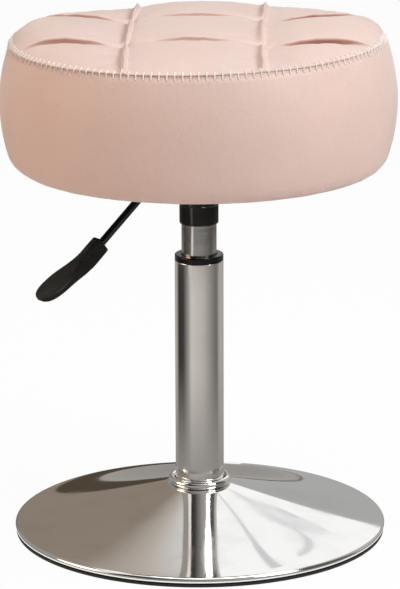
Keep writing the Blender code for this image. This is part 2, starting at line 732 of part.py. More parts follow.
def lever_rod(parent):
    """A bent steel rod: level over the valve pin, then sloping down to the handle."""
    tangent = LEVER_BEND_RADIUS * math.tan(LEVER_DROP / 2)
    bend_start = LEVER_BEND_REACH - PIVOT_REACH - tangent
    points = [Vector((-PIVOT_REACH - LEVER_TAIL, 0, 0))]
    steps = 6
    for i in range(steps + 1):
        a = LEVER_DROP * i / steps
        points.append(
            Vector((bend_start + LEVER_BEND_RADIUS * math.sin(a), 0, LEVER_BEND_RADIUS * (math.cos(a) - 1)))
        )
    points.append(slope_point(SLOPE_LENGTH + HANDLE_SOCKET - GAP))
    curve = bpy.data.curves.new("lever_rod", "CURVE")
    curve.dimensions = "3D"
    curve.bevel_depth = LEVER_ROD_RADIUS
    curve.bevel_resolution = 2
    curve.use_fill_caps = True
    spline = curve.splines.new("POLY")
    spline.points.add(len(points) - 1)
    for point, place in zip(spline.points, points):
        point.co = (*place, 1.0)
    add_object("lever_rod", curve, parent, BLACK_STEEL)


def lever_handle(parent):
    """A moulded paddle: a square neck over the rod, flattening into a broad round-ended blade."""
    neck, _, neck_thickness = HANDLE_STATIONS[HANDLE_NECK]
    blade = HANDLE_STATIONS[HANDLE_BLADE][0]
    place = slope_point(SLOPE_LENGTH)
    rings = []
    last = 0.0
    corners = 16
    for distance, width, thickness in HANDLE_STATIONS:
        turn = min(max((distance - neck) / (blade - neck), 0.0), 1.0)
        drop = LEVER_DROP + (HANDLE_DROP - LEVER_DROP) * turn
        along = Vector((math.cos(drop), 0, -math.sin(drop)))
        up = Vector((math.sin(drop), 0, math.cos(drop)))
        place = place + along * (distance - last)
        last = distance
        raised = (neck_thickness - thickness) / 2 if distance > neck else 0.0
        section = []
        for i in range(corners):
            a = 2 * math.pi * (i + 0.5) / corners
            side = math.copysign(abs(math.cos(a)) ** HANDLE_SQUARENESS, math.cos(a)) * width / 2
            rise = math.copysign(abs(math.sin(a)) ** HANDLE_SQUARENESS, math.sin(a)) * thickness / 2
            section.append(place + Vector((0, side, 0)) + up * (rise + raised))
        rings.append(section)
    handle = lofted("lever_handle", rings, parent, BLACK_PLASTIC)
    socket = rod_along(
        "handle_socket", LEVER_ROD_RADIUS + GAP, slope_point(SLOPE_LENGTH - HANDLE_SOCKET),
        slope_point(SLOPE_LENGTH + HANDLE_SOCKET), parent,
    )
    boolean(handle, socket, "DIFFERENCE")


def lever_trunnion(parent):
    """A pivot block on the rod with a round stub in each ear of the bracket."""
    reach = ear_spacing() / 2 + BRACKET_SHEET + RUNNING_GAP
    block = box("lever_trunnion", (TRUNNION_BLOCK,) * 3, (0, 0, 0), parent, STEEL)
    edges = block.modifiers.new("edges", "BEVEL")
    edges.width = TRUNNION_BLOCK / 12
    edges.segments = 1
    stubs = rod_along("trunnion_stubs", TRUNNION_RADIUS, (0, -reach, 0), (0, reach, 0), parent)
    boolean(block, stubs, "UNION")
    bore = rod_along(
        "trunnion_bore", LEVER_ROD_RADIUS + GAP, (-TRUNNION_BLOCK, 0, 0), (TRUNNION_BLOCK, 0, 0), parent
    )
    boolean(block, bore, "DIFFERENCE")


# Seat


def side_radius(z):
    """Outer radius of the upholstered side: widest at mid height, drawn in above and below."""
    widest = SEAT_Z + WIDEST_HEIGHT
    if z >= widest:
        share = (z - widest) / (SEAM_Z - widest)
        return SEAT_RADIUS - (SEAT_RADIUS - SEAM_RADIUS) * share**SHOULDER_POWER
    return SEAT_RADIUS - SIDE_DRAW_IN * ((widest - z) / WIDEST_HEIGHT) ** SIDE_POWER


def corner_lean():
    """How far the side leans in where the rounded lower edge starts, in radians."""
    share = (WIDEST_HEIGHT - CORNER_HEIGHT) / WIDEST_HEIGHT
    return math.atan(SIDE_DRAW_IN * SIDE_POWER / WIDEST_HEIGHT * share ** (SIDE_POWER - 1))


def corner_radius():
    return CORNER_HEIGHT / (1 - math.sin(corner_lean()))


def board_radius():
    """The board ends where the cover starts to curve up from the underside."""
    return side_radius(SEAT_Z + CORNER_HEIGHT) - corner_radius() * math.cos(corner_lean())


def turn_under_radius():
    """Inner edge of the cover that is stapled under the board."""
    return board_radius() - COVER_TURN_UNDER


def corner_arc(inset, steps):
    """The rounded lower edge, tangent to the side and to the underside, moved in by inset."""
    centre = (board_radius(), SEAT_Z + corner_radius())
    return arc(centre, corner_radius() - inset, -math.degrees(corner_lean()), -90, steps)


def side_profile(inset, top, steps):
    """Points down the side from top to the start of the rounded lower edge."""
    end = SEAT_Z + CORNER_HEIGHT
    heights = [top + (end - top) * i / steps for i in range(steps)]
    return [(side_radius(z) - inset, z) for z in heights]


def seat_side_cover(parent):
    top = SEAM_Z - GAP
    edge = turn_under_radius()
    outer = side_profile(0.0, top, 8) + corner_arc(0.0, 4) + [(edge, SEAT_Z)]
    inner = side_profile(COVER, top, 5) + corner_arc(COVER, 3) + [(edge, SEAT_Z + COVER)]
    turned("seat_side_cover", outer + inner[::-1], parent, LEATHER, SEAT_SEGMENTS)


def seat_foam(parent):
    top = SEAM_Z - GAP
    bottom = BOARD_Z + BOARD + GAP
    inset = COVER + 2 * GAP
    steps = 5
    heights = [top + (bottom - top) * i / steps for i in range(steps + 1)]
    side = [(side_radius(z) - inset, z) for z in heights]
    turned("seat_foam", [(0.0, top)] + side + [(0.0, bottom)], parent, FOAM, SEAT_SEGMENTS)


def seat_board(parent, plate_frame):
    top = BOARD_Z + BOARD
    chamfer = BOARD / 8
    edge = board_radius()
    profile = (
        (0.0, top), (edge - chamfer, top), (edge, top - chamfer), (edge, BOARD_Z + chamfer),
        (edge - chamfer, BOARD_Z), (0.0, BOARD_Z),
    )
    board = turned("seat_board", profile, parent, PLYWOOD, SEAT_SEGMENTS)
    barrel = BOLT_RADIUS + RUNNING_GAP + T_NUT_BARREL + GAP
    drill_bolt_holes(board, barrel, BOARD_Z - BOARD, top + BOARD, plate_frame)
    for i, (x, y) in enumerate(bolt_places()):
        recess = rod_along(
            f"nut_recess_{i + 1}", T_NUT_RADIUS + GAP, (x, y, top - T_NUT_FLANGE - GAP), (x, y, top + BOARD),
            plate_frame,
        )
        boolean(board, recess, "DIFFERENCE")


def dust_cover(parent, plate_frame):
    edge = turn_under_radius() - GAP
    top = DUST_COVER_Z + DUST_COVER
    profile = ((0.0, top), (edge, top), (edge, DUST_COVER_Z), (0.0, DUST_COVER_Z))
    cloth = turned("dust_cover", profile, parent, CLOTH, SEAT_SEGMENTS)
    below, above = DUST_COVER_Z - DUST_COVER, top + DUST_COVER
    drill_bolt_holes(cloth, BOLT_RADIUS + RUNNING_GAP, below, above, plate_frame)


def crowd(share):
    """Moves evenly spaced shares of a panel towards its two sewn edges."""
    return share - LINE_CROWDING * math.sin(2 * math.pi * share) / (2 * math.pi)


def panel_coordinate(u):
    """Splits a grid coordinate from -1 to 1 into the panel (-1, 0 or 1) and the crowded share across it."""
    whole = (u + 1) * 1.5
    panel = min(int(whole + 1e-6), 2)
    return panel - 1, crowd(min(max(whole - panel, 0.0), 1.0))


def edge_reach(y):
    """Distance from the middle line to the seat's edge, at a sideways offset."""
    return math.sqrt(max(SEAM_RADIUS**2 - y**2, 0.0))


def corner_point(t, w):
    """A point of a corner panel: between two sewn lines and the round edge."""
    reach = edge_reach(TUFT_HALF)
    start = math.atan2(TUFT_HALF, reach)
    span = math.radians(45) - start
    low = Vector((TUFT_HALF + t * (reach - TUFT_HALF), TUFT_HALF))
    left = Vector((TUFT_HALF, TUFT_HALF + w * (reach - TUFT_HALF)))
    right = SEAM_RADIUS * Vector((math.cos(start + w * span), math.sin(start + w * span)))
    high = SEAM_RADIUS * Vector((math.sin(start + t * span), math.cos(start + t * span)))
    tip = SEAM_RADIUS * Vector((math.sqrt(0.5), math.sqrt(0.5)))
    near = Vector((TUFT_HALF, TUFT_HALF))
    blend = (1 - t) * (1 - w) * near + t * (1 - w) * Vector((reach, TUFT_HALF))
    blend += (1 - t) * w * Vector((TUFT_HALF, reach)) + t * w * tip
    return (1 - w) * low + w * high + (1 - t) * left + t * right - blend


def tuft_plan(u, v):
    """Maps a square grid onto the round top so that the grid lines follow the sewn lines."""
    (column, across), (row, along) = panel_coordinate(u), panel_coordinate(v)
    if column == 0 and row == 0:
        return Vector(((2 * across - 1) * TUFT_HALF, (2 * along - 1) * TUFT_HALF))
    if row == 0:
        y = (2 * along - 1) * TUFT_HALF
        out = across if column > 0 else 1 - across
        return Vector((column * (TUFT_HALF + out * (edge_reach(y) - TUFT_HALF)), y))
    if column == 0:
        x = (2 * across - 1) * TUFT_HALF
        out = along if row > 0 else 1 - along
        return Vector((x, row * (TUFT_HALF + out * (edge_reach(x) - TUFT_HALF))))
    corner = corner_point(across if column > 0 else 1 - across, along if row > 0 else 1 - along)
    return Vector((column * corner.x, row * corner.y))


def crease_depth(x, to_crease):
    """Depth of a crease: deepest at the middle of a panel, gentle in front and steep behind."""
    if abs(x) > TUFT_HALF:
        share = (abs(x) - TUFT_HALF) / (edge_reach(TUFT_HALF) - TUFT_HALF)
        deepest = SIDE_CREASE
    else:
        share = (x / TUFT_HALF + 1) / 2
        deepest = MIDDLE_CREASE
    lens = max(4 * share * (1 - share), 0.0)
    width = CREASE_BACK if to_crease > 0 else CREASE_FRONT
    return (CREASE_AT_PLEAT + deepest * lens) * math.exp(-((abs(to_crease) / width) ** CREASE_POWER))


def pleat_rise(to_pleat, to_crease, from_rim):
    """How far a folded pleat stands up; it ends at the creases and runs out at the seam."""
    width = PLEAT_RIGHT if to_pleat > 0 else PLEAT_LEFT
    ridge = PLEAT_HEIGHT * math.exp(-((abs(to_pleat) / width) ** PLEAT_POWER))
    ends = 1 - math.exp(-((to_crease / PLEAT_FADE) ** 2))
    return ridge * ends * (1 - (1 - PLEAT_AT_RIM) * math.exp(-from_rim / PLEAT_RIM_FADE))


def tuft_height(x, y):
    """Height of the top above its seam: puffed panels between the creases and the pleats."""
    from_rim = max(SEAM_RADIUS - math.hypot(x, y), 0.0)
    roll = max(1 - from_rim / EDGE_ROLL, 0.0)
    to_pleat = min((x - TUFT_HALF, x + TUFT_HALF), key=abs)
    to_crease = min((y - TUFT_HALF, y + TUFT_HALF), key=abs)
    crown = CROWN_HEIGHT - ROW_FALL * (y / SEAM_RADIUS) ** 2
    crown -= CORNER_FALL * (2 * x * y / SEAM_RADIUS**2) ** 2
    crown *= 1 - PLEAT_DIP * math.exp(-abs(to_pleat) / PLEAT_DIP_WIDTH)
    puffed = (1 - roll**ROLL_POWER) * (crown - crease_depth(x, to_crease))
    return PAD_EDGE + puffed + pleat_rise(to_pleat, to_crease, from_rim)


def seat_top_pad(parent):
    """The tufted top: a grid laid over the round plan, raised by the tufting and closed underneath."""
    bm = bmesh.new()
    lines = 3 * PANEL_STEPS
    bmesh.ops.create_grid(bm, x_segments=lines, y_segments=lines, size=1.0)
    for vert in bm.verts:
        plan = tuft_plan(vert.co.x, vert.co.y)
        shift = TUFT_SHIFT * (1 - (plan.length / SEAM_RADIUS) ** 2)
        vert.co = (plan.x + shift, plan.y, SEAM_Z + tuft_height(plan.x, plan.y))
    rim = [edge for edge in bm.edges if edge.is_boundary]
    wall = bmesh.ops.extrude_edge_only(bm, edges=rim)["geom"]
    low = [item for item in wall if isinstance(item, bmesh.types.BMVert)]
    for vert in low:
        vert.co.z = SEAM_Z
    bmesh.ops.contextual_create(bm, geom=[edge for edge in bm.edges if edge.is_boundary])
    pad = from_bmesh("seat_top_pad", bm, parent, LEATHER)
    pad.data.shade_smooth()
    pad.rotation_euler.z = TUFT_TURN


clear_scene()
parts = collection("vanity_stool")
cutters = collection("cutters")
floor_frame = empty("floor_frame")
swivel_axis = empty("swivel_axis", floor_frame)
lift_axis = empty("lift_axis", swivel_axis)
plate_frame = empty("plate_frame", lift_axis, turn=LEVER_TURN)
lever_axis = empty("lever_axis", plate_frame, location=(PIVOT_REACH, 0, LEVER_Z))
release_axis = empty("release_axis", lift_axis)

for make in (
    base_shell, base_edge_ring, base_stiffener, base_hub, column_tube, column_trim_ring, column_guide_bush,
    column_end_plate, bearing_ball_cage,
):
    make(floor_frame)
bearing_washer("bearing_washer_lower", WASHER_Z, floor_frame)
bearing_washer("bearing_washer_upper", UPPER_WASHER_Z, swivel_axis)
for make in (piston_rod, rod_retaining_clip, rod_bumper, piston):
    make(swivel_axis)
for make in (
    gas_cylinder, cylinder_end_seal, valve_housing, taper_socket, seat_side_cover, seat_foam, seat_top_pad,
):
    make(lift_axis)
for make in (seat_plate, lever_bracket, seat_bolts, t_nuts):
    make(plate_frame)
for make in (seat_board, dust_cover):
    make(lift_axis, plate_frame)
for make in (lever_rod, lever_handle, lever_trunnion):
    make(lever_axis)
release_pin(release_axis)
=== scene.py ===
"""Vanity stool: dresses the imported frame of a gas-lift stool in chrome, black steel and tufted leather.

Laid out as an add-on and run as a script. Metres, +Z up, origin on the floor under the column.
"""

import json
import math

import bmesh
import bpy
from bpy.props import FloatProperty, FloatVectorProperty, IntProperty, PointerProperty
from mathutils import Matrix, Vector, noise
from mathutils.bvhtree import BVHTree


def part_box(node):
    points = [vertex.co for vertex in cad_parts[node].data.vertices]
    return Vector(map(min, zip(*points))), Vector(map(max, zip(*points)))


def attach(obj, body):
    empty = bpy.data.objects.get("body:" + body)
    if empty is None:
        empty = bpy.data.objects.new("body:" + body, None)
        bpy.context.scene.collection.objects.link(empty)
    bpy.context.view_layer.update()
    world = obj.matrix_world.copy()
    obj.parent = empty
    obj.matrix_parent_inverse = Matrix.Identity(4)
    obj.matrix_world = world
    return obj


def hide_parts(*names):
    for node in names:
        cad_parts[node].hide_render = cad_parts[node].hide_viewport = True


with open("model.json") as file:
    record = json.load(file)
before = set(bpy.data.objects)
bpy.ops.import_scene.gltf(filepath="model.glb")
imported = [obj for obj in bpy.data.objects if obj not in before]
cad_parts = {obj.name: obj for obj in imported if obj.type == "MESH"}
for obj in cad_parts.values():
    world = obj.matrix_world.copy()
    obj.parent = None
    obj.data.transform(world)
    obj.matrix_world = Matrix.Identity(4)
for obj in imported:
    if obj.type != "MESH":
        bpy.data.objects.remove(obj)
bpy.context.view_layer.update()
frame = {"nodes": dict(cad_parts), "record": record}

bl_info = {
    "name": "Vanity stool",
    "version": (1, 0, 0),
    "blender": (4, 5, 0),
    "location": "View3D > Sidebar > Stool",
    "description": "Finishes the frame of a vanity stool: base, column, lever and tufted seat",
    "category": "Object",
}

JOINTS = {joint["name"]: joint for joint in frame["record"]["behaviour"]["joints"]}


def bottom(node):
    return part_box(node)[0].z


def top(node):
    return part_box(node)[1].z


def reach(node):
    """Radius of a node that is turned round the column's axis."""
    low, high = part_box(node)
    return (high.x - low.x) / 2


UP = Vector((0, 0, 1))

# Fits and fillets that the pieces share
GAP = 0.0003
RUNNING_FIT = 0.0004
SMALL_FILLET = 0.0006
FILLET = 0.001
SUPPORT = 0.0001  # from a fillet to the ring that keeps the next face flat
MERGE = 1e-6
TOUCHING = 1e-5  # a point closer than this lies on a line

# How finely the surfaces are divided
TURN_STEPS = 128
FILLET_STEPS = 4
FLARE_STEPS = 40
RIM_STEPS = 14
RIM_INNER_STEPS = 6
BEAD_STEPS = 36
BEND_STEPS = 14
TUBE_SIDES = 20
HANDLE_SIDES = 48
HANDLE_STEPS = 4
TUFT_STEPS = 54
TUFT_CROWDING = 0.8
BLANK_STEPS = 28
SIDE_STEPS = 30
SIDE_INNER_STEPS = 6
EDGE_STEPS = 10
EDGE_INNER_STEPS = 4
STITCH_STEPS = 4
THREAD_SIDES = 6
HOLE_SIDES = 8
DISC_SIDES = 96
CLOTH_RINGS = 12
CARD_STEPS = 48


def length(name, description, default):
    return FloatProperty(name=name, description=description, default=default, unit="LENGTH", precision=4)


def share(name, description, default):
    return FloatProperty(name=name, description=description, default=default, subtype="FACTOR")


def colour(name, description, default):
    return FloatVectorProperty(
        name=name, description=description, default=default, subtype="COLOR", min=0, max=1
    )


def rotation(name, description, degrees):
    return FloatProperty(name=name, description=description, default=math.radians(degrees), subtype="ANGLE")


def power(name, description, default):
    return FloatProperty(name=name, description=description, default=default, unit="POWER")


def location(name, description, default):
    return FloatVectorProperty(name=name, description=description, default=default, subtype="TRANSLATION")


class StoolBase(bpy.types.PropertyGroup):
    """Sizes and finish of the base"""

    radius: length("Radius", "Outer radius of the rolled rim", reach("base_shell"))
    crown_z: length("Crown height", "Top of the flat collar round the column", top("base_shell"))
    rim_z: length("Rim height", "Underside of the rolled rim", bottom("base_shell"))
    collar: length("Collar width", "Flat ring between the column and the flare", 0.008)
    bead: length("Rim bead", "Radius of the rolled rim", 0.0035)
    sheet: length("Sheet", "Thickness of the spun steel", 0.0015)
    concavity: share("Concavity", "1 is a straight cone, more hollows the trumpet", 1.2)
    chrome: colour("Chrome", "Colour of the plating", (0.92, 0.915, 0.905))


class StoolColumn(bpy.types.PropertyGroup):
    """Sizes and finish of the column, the gas spring and its collar"""

    radius: length("Column radius", "Outer radius of the column", reach("column_tube"))
    wall: length("Column wall", "Wall of the outer tube", 0.0015)
    trim_width: length("Trim ring", "How far the trim ring stands out from the column", 0.007)
    cylinder_radius: length("Cylinder radius", "Outer radius of the gas cylinder", reach("gas_cylinder"))
    collar_wall: length("Collar wall", "Wall of the black collar", 0.002)
    collar_step_z: length("Collar step", "Height on the collar where it widens", 0.020)
    collar_step: length("Collar widening", "How much the collar widens at its step", 0.0025)
    flange: length("Collar flange", "Thickness of the flange under the plate", 0.0035)
    steel: colour("Ground steel", "Colour of the gas cylinder", (0.62, 0.61, 0.60))
    black: colour("Black", "Colour of the paint, the plastic and the rubber", (0.0075, 0.0072, 0.0068))


class StoolLever(bpy.types.PropertyGroup):
    """Sizes of the release lever"""

    rod_radius: length("Rod radius", "Radius of the bent rod", 0.004)
    tail: length("Tail", "Rod past the middle of the valve pin", 0.004)
    bend_reach: length("Bend", "Distance of the bend from the column's axis", 0.0614)
    bend_radius: length("Bend radius", "Radius of the rod's bend", 0.012)
    drop: rotation("Slope", "How steeply the rod slopes", 38.8)
    slope: length("Slope length", "Rod from the bend to the handle", 0.0813)
    handle_drop: rotation("Handle slope", "How steeply the blade slopes", 33)
    socket: length("Socket", "Depth of the handle's socket", 0.026)


class StoolSeat(bpy.types.PropertyGroup):
    """Sizes and colours of the upholstered seat"""

    radius: length("Radius", "Widest radius of the seat", reach("seat_side_cover"))
    under_z: length("Underside", "Height of the seat's underside", bottom("seat_side_cover"))
    seam_z: length("Seam height", "Height of the seam round the top", bottom("seat_top_pad"))
    seam_radius: length("Seam radius", "Radius of the seam round the top", reach("seat_top_pad"))
    widest: length("Widest", "Height of the widest place above the underside", 0.071)
    draw_in: length("Draw-in", "How far the side draws in towards its lower edge", 0.013)
    corner: length("Lower edge", "Height of the rounded lower edge", 0.015)
    turn_under: length("Turn-under", "Width of the cover stapled under the board", 0.0125)
    cover: length("Cover", "Thickness of the leather with its backing", 0.002)
    tuft_half: length("Tufting", "From the middle to a sewn line", 0.067)
    tuft_turn: rotation("Turn", "Turn of the sewn lines", -1.5)
    tuft_shift: length("Shift", "Sideways shift of the sewn lines at the middle", -0.0035)
    edge: length("Edge", "Thickness of the top at its seam", 0.0012)
    crown: length("Crown", "Height of the middle panel above the edge", 0.0163)
    row_fall: length("Row fall", "How much the crown drops towards the front and the back", 0.010)
    corner_fall: length("Corner fall", "How much the crown drops towards the corner panels", 0.005)
    roll: length("Edge roll", "Width of the roll down to the seam", 0.045)
    inner_dip: share("Inner dip", "How far the middle panels sink at the pleats", 0.62)
    outer_dip: share("Outer dip", "How far the side panels sink at the pleats", 0.84)
    crease: length("Crease", "Depth of a crease where it meets a pleat", 0.0024)
    left_slit: length("Left slit", "How far the creases of the left panels gape", 0.0040)
    middle_slit: length("Middle slit", "How far the creases of the middle panels gape", 0.0016)
    right_slit: length("Right slit", "How far the creases of the right panels gape", 0.0058)
    pleat_height: length("Pleat height", "How far a pleat stands up", 0.0080)
    swell: length("Swell", "How far the filling pushes the panels up", 0.003)
    climb: length("Climb", "How far the seam climbs to the right", 0.0036)
    stitches: IntProperty(name="Stitches", description="Whip stitches round the seam", default=156, min=12)
    leather: colour("Leather", "Colour of the leather", (0.74, 0.53, 0.462))
    # Painted shade: the colour the leather is darkened to in creases, beside the pleats and at its edges
    fold: colour("Leather in folds", "Colour of the leather deep in its folds", (0.34, 0.125, 0.09))
    thread: colour("Thread", "Colour of the thread", (0.93, 0.86, 0.81))


class StoolStage(bpy.types.PropertyGroup):
    """Camera, floor and light"""

    camera: location("Camera", "Place of the camera", (0.0, -3.43, 1.16))
    aim: location("Aim", "What the camera looks at", (0.0008, 0.0, 0.2502))
    roll: rotation("Roll", "Roll of the camera", math.degrees(-0.0031))
    lens: FloatProperty(name="Lens", description="Focal length in millimetres", default=211.2)
    floor: colour("Floor", "Colour of the floor", (0.88, 0.87, 0.86))
    ambient: colour("Ambient", "Light from all round", (0.29, 0.275, 0.265))
    key: power("Key", "Power of the key light", 41.0)
    overhead: power("Overhead", "Power of the overhead light", 38.0)
    fill: power("Fill", "Power of the fill light", 22.0)


# Shader maths


class Wire:
    """A socket that can be reckoned with: each operator adds the node that works it out."""

    def __init__(self, nodes, socket):
        self.nodes = nodes
        self.socket = socket

    def maths(self, operation, *values):
        return self.nodes.node("ShaderNodeMath", {"operation": operation}, dict(enumerate(values)))

    def __add__(self, other):
        return self.maths("ADD", self, other)

    def __sub__(self, other):
        return self.maths("SUBTRACT", self, other)

    def __rsub__(self, other):
        return self.maths("SUBTRACT", other, self)

    def __mul__(self, other):
        return self.maths("MULTIPLY", self, other)

    __radd__ = __add__
    __rmul__ = __mul__


LOOKING_RAYS = ("Is Camera Ray", "Is Glossy Ray", "Is Transmission Ray")


class Nodes:
    """A node tree that is filled by expressions."""

    def __init__(self, tree):
        self.tree = tree

    def node(self, kind, settings=None, sockets=None, output=0):
        """Adds a node, with its settings first and then its sockets, and gives one of its outputs."""
        made = self.tree.nodes.new(kind)
        for name, value in (settings or {}).items():
            if name == "stops":
                self.set_stops(made.color_ramp, value)
            else:
                setattr(made, name, value)
        for name, value in (sockets or {}).items():
            self.feed(made.inputs[name], value)
        return Wire(self, made.outputs[output])

    def set_stops(self, ramp, stops):
        while len(ramp.elements) < len(stops):
            ramp.elements.new(1.0)
        for element, (position, value) in zip(ramp.elements, stops):
            element.position = position
            element.color = (*value, 1.0)

    def feed(self, socket, value):
        if isinstance(value, Wire):
            self.tree.links.new(value.socket, socket)
        elif socket.type == "RGBA" and len(value) == 3:
            socket.default_value = (*value, 1.0)
        else:
            socket.default_value = value

    def blend(self, factor, first, second):
        """Mixes two colours."""
        return self.node("ShaderNodeMix", {"data_type": "RGBA"}, {0: factor, 6: first, 7: second}, output=2)

    def ramp(self, value, low, high):
        """0 below low, 1 above high, and smooth between them."""
        settings = {"interpolation_type": "SMOOTHSTEP"}
        return self.node("ShaderNodeMapRange", settings, {"Value": value, "From Min": low, "From Max": high})

    def seen(self):
        """1 for rays from the camera, from gloss and through glass."""
        camera, gloss, glass = [self.node("ShaderNodeLightPath", output=name) for name in LOOKING_RAYS]
        settings = {"operation": "ADD", "use_clamp": True}
        return self.node("ShaderNodeMath", settings, {0: camera, 1: gloss + glass})


class Finish(Nodes):
    """A material under construction: a Principled shader and the nodes that feed it."""

    def __init__(self, name):
        self.material = bpy.data.materials.new(name)
        self.material.use_nodes = True
        super().__init__(self.material.node_tree)
        self.shader = self.tree.nodes["Principled BSDF"]
        self.place = self.node("ShaderNodeTexCoord", output="Object")

    def set(self, **values):
        """Feeds the shader's sockets; an underscore in a name stands for a space."""
        for name, value in values.items():
            self.feed(self.shader.inputs[name.replace("_", " ")], value)

    def stretched(self, scale):
        return self.node("ShaderNodeMapping", None, {"Vector": self.place, "Scale": scale})

    def axis(self, name):
        """One coordinate of the place."""
        return self.node("ShaderNodeSeparateXYZ", None, {0: self.place}, output=name)

    def noise(self, scale, detail, place=None):
        sockets = {"Vector": place or self.place, "Scale": scale, "Detail": detail}
        return self.node("ShaderNodeTexNoise", None, sockets)

    def cells(self, scale):
        sockets = {"Vector": self.place, "Scale": scale}
        return self.node("ShaderNodeTexVoronoi", None, sockets, output="Distance")

    def relief(self, height, depth, strength):
        """Feeds the shader's normal with a bump of that depth in metres."""
        sockets = {"Height": height, "Distance": depth, "Strength": strength}
        self.set(Normal=self.node("ShaderNodeBump", None, sockets, output="Normal"))


# Finishes


def toned(tone, factor):
    """A paler or darker tone of a colour."""
    return tuple(min(1.0, factor * value) for value in tone)


def leather_finish(seat):
    look = Finish("blush_leather")
    # Painted shade: a mask on the mesh darkens the leather towards a shade colour in creases, beside the
    # pleats, on the seam's wall and at the lower edge
    fold = look.node("ShaderNodeAttribute", {"attribute_name": "fold"}, output="Fac")
    mottle = look.ramp(look.noise(scale=11.0, detail=4.0), low=0.35, high=0.7)
    pebble = look.cells(scale=780.0)
    pores = look.noise(scale=2600.0, detail=2.0)
    pale = toned(seat.leather, 1.06)
    tone = look.blend(mottle * 0.7, seat.leather, pale)
    shade = look.blend(fold, tone, seat.fold)
    look.set(
        Base_Color=look.blend(look.ramp(pebble, low=0.55, high=0.9) * 0.10, shade, seat.fold),
        Roughness=0.47 + 0.10 * mottle - 0.06 * pores,
        Specular_IOR_Level=0.34,
        Sheen_Weight=0.38,
        Sheen_Roughness=0.4,
    )
    look.relief(1.0 - pebble + 0.35 * pores, depth=0.00022, strength=0.55)
    return look.material


def thread_finish(seat):
    look = Finish("twisted_thread")
    strand = look.noise(scale=1500.0, detail=2.0, place=look.stretched((1.0, 1.0, 0.4)))
    dark = toned(seat.thread, 0.85)
    look.set(Base_Color=look.blend(strand, dark, seat.thread), Roughness=0.55 + 0.2 * strand)
    look.relief(strand, depth=0.0003, strength=0.6)
    return look.material


def hole_finish(seat):
    # Painted shade: the dark inside a needle hole is painted on a small cone standing proud of the leather
    look = Finish("needle_hole")
    fluff = look.noise(scale=900.0, detail=2.0)
    pale = toned(seat.leather, 0.45)
    look.set(Base_Color=look.blend(fluff, seat.fold, pale), Roughness=0.9)
    return look.material


def chrome_finish(base):
    """Polished plating on spun sheet: a little wavy, with faint smudges."""
    look = Finish("spun_chrome")
    smudge = look.ramp(look.noise(scale=24.0, detail=5.0), low=0.45, high=0.75)
    waves = look.noise(scale=11.0, detail=1.0)
    dull = toned(base.chrome, 0.93)
    look.set(
        Base_Color=look.blend(smudge, base.chrome, dull),
        Metallic=1.0,
        Roughness=0.05 + 0.05 * smudge,
    )
    look.relief(waves, depth=0.0010, strength=0.25)
    return look.material


def tube_chrome_finish(base):
    """Plating on drawn tube: fine draw lines along it, duller where it is handled."""
    look = Finish("tube_chrome")
    lines = look.noise(scale=1.0, detail=3.0, place=look.stretched((420.0, 420.0, 3.0)))
    smudge = look.ramp(look.noise(scale=17.0, detail=5.0), low=0.42, high=0.72)
    dull = (0.86, 0.82, 0.78)
    look.set(
        Base_Color=look.blend(smudge * 0.5, base.chrome, dull),
        Metallic=1.0,
        Roughness=0.05 + 0.04 * smudge + 0.03 * lines,
    )
    look.relief(lines, depth=0.00006, strength=0.5)
    return look.material


def ground_steel_finish(column):
    """A ground cylinder: fine lines round it and a few scuffs along it."""
    look = Finish("ground_steel")
    lines = look.noise(scale=1.0, detail=4.0, place=look.stretched((6.0, 6.0, 2400.0)))
    scrapes = look.noise(scale=1.0, detail=4.0, place=look.stretched((300.0, 300.0, 20.0)))
    scuff = look.ramp(scrapes, low=0.58, high=0.72)
    brown = (0.46, 0.40, 0.35)
    look.set(
        Base_Color=look.blend(scuff * 0.55, column.steel, brown),
        Metallic=1.0,
        Roughness=0.11 + 0.10 * lines + 0.10 * scuff,
    )
    look.relief(lines, depth=0.00008, strength=0.5)
    return look.material


def gloss_black_finish(column):
    """Thick gloss paint with a little orange peel and dust."""
    look = Finish("gloss_black_paint")
    peel = look.noise(scale=420.0, detail=2.0)
    dust = look.ramp(look.noise(scale=1400.0, detail=3.0), low=0.66, high=0.78)
    look.set(
        Base_Color=look.blend(dust * 0.4, column.black, (0.09, 0.085, 0.08)),
        Roughness=0.16 + 0.05 * peel + 0.25 * dust,
        Specular_IOR_Level=0.5,
        Coat_Weight=0.2,
        Coat_Roughness=0.08,
    )
    look.relief(peel, depth=0.00008, strength=0.4)
    return look.material


def black_plastic_finish(column, name, roughness):
    """Moulded plastic with a fine spark-eroded texture, worn smoother and paler in patches."""
    look = Finish(name)
    grain = look.noise(scale=2100.0, detail=2.0)
    wear = look.ramp(look.noise(scale=45.0, detail=4.0), low=0.45, high=0.75)
    worn = toned(column.black, 2.1)
    look.set(
        Base_Color=look.blend(wear, column.black, worn),
        Roughness=roughness - 0.3 * roughness * wear + 0.15 * roughness * grain,
        Specular_IOR_Level=0.3,
    )
    look.relief(grain, depth=0.00010, strength=0.5)
    return look.material


def rubber_finish(column):
    look = Finish("black_rubber")
    bloom = look.ramp(look.noise(scale=60.0, detail=4.0), low=0.4, high=0.8)
    grey = toned(column.black, 2.6)
    look.set(Base_Color=look.blend(bloom, column.black, grey), Roughness=0.72 + 0.14 * bloom)
    look.relief(look.noise(scale=1200.0, detail=2.0), depth=0.00012, strength=0.5)
    return look.material


def steel_finish():
    """Bright zinc-plated steel with a brushed grain."""
    look = Finish("plated_steel")
    brushed = look.noise(scale=1.0, detail=3.0, place=look.stretched((900.0, 40.0, 900.0)))
    spangle = look.cells(scale=220.0)
    look.set(
        Base_Color=look.blend(spangle, (0.56, 0.56, 0.55), (0.66, 0.67, 0.68)),
        Metallic=1.0,
        Roughness=0.28 + 0.16 * brushed,
    )
    look.relief(brushed, depth=0.00006, strength=0.5)
    return look.material


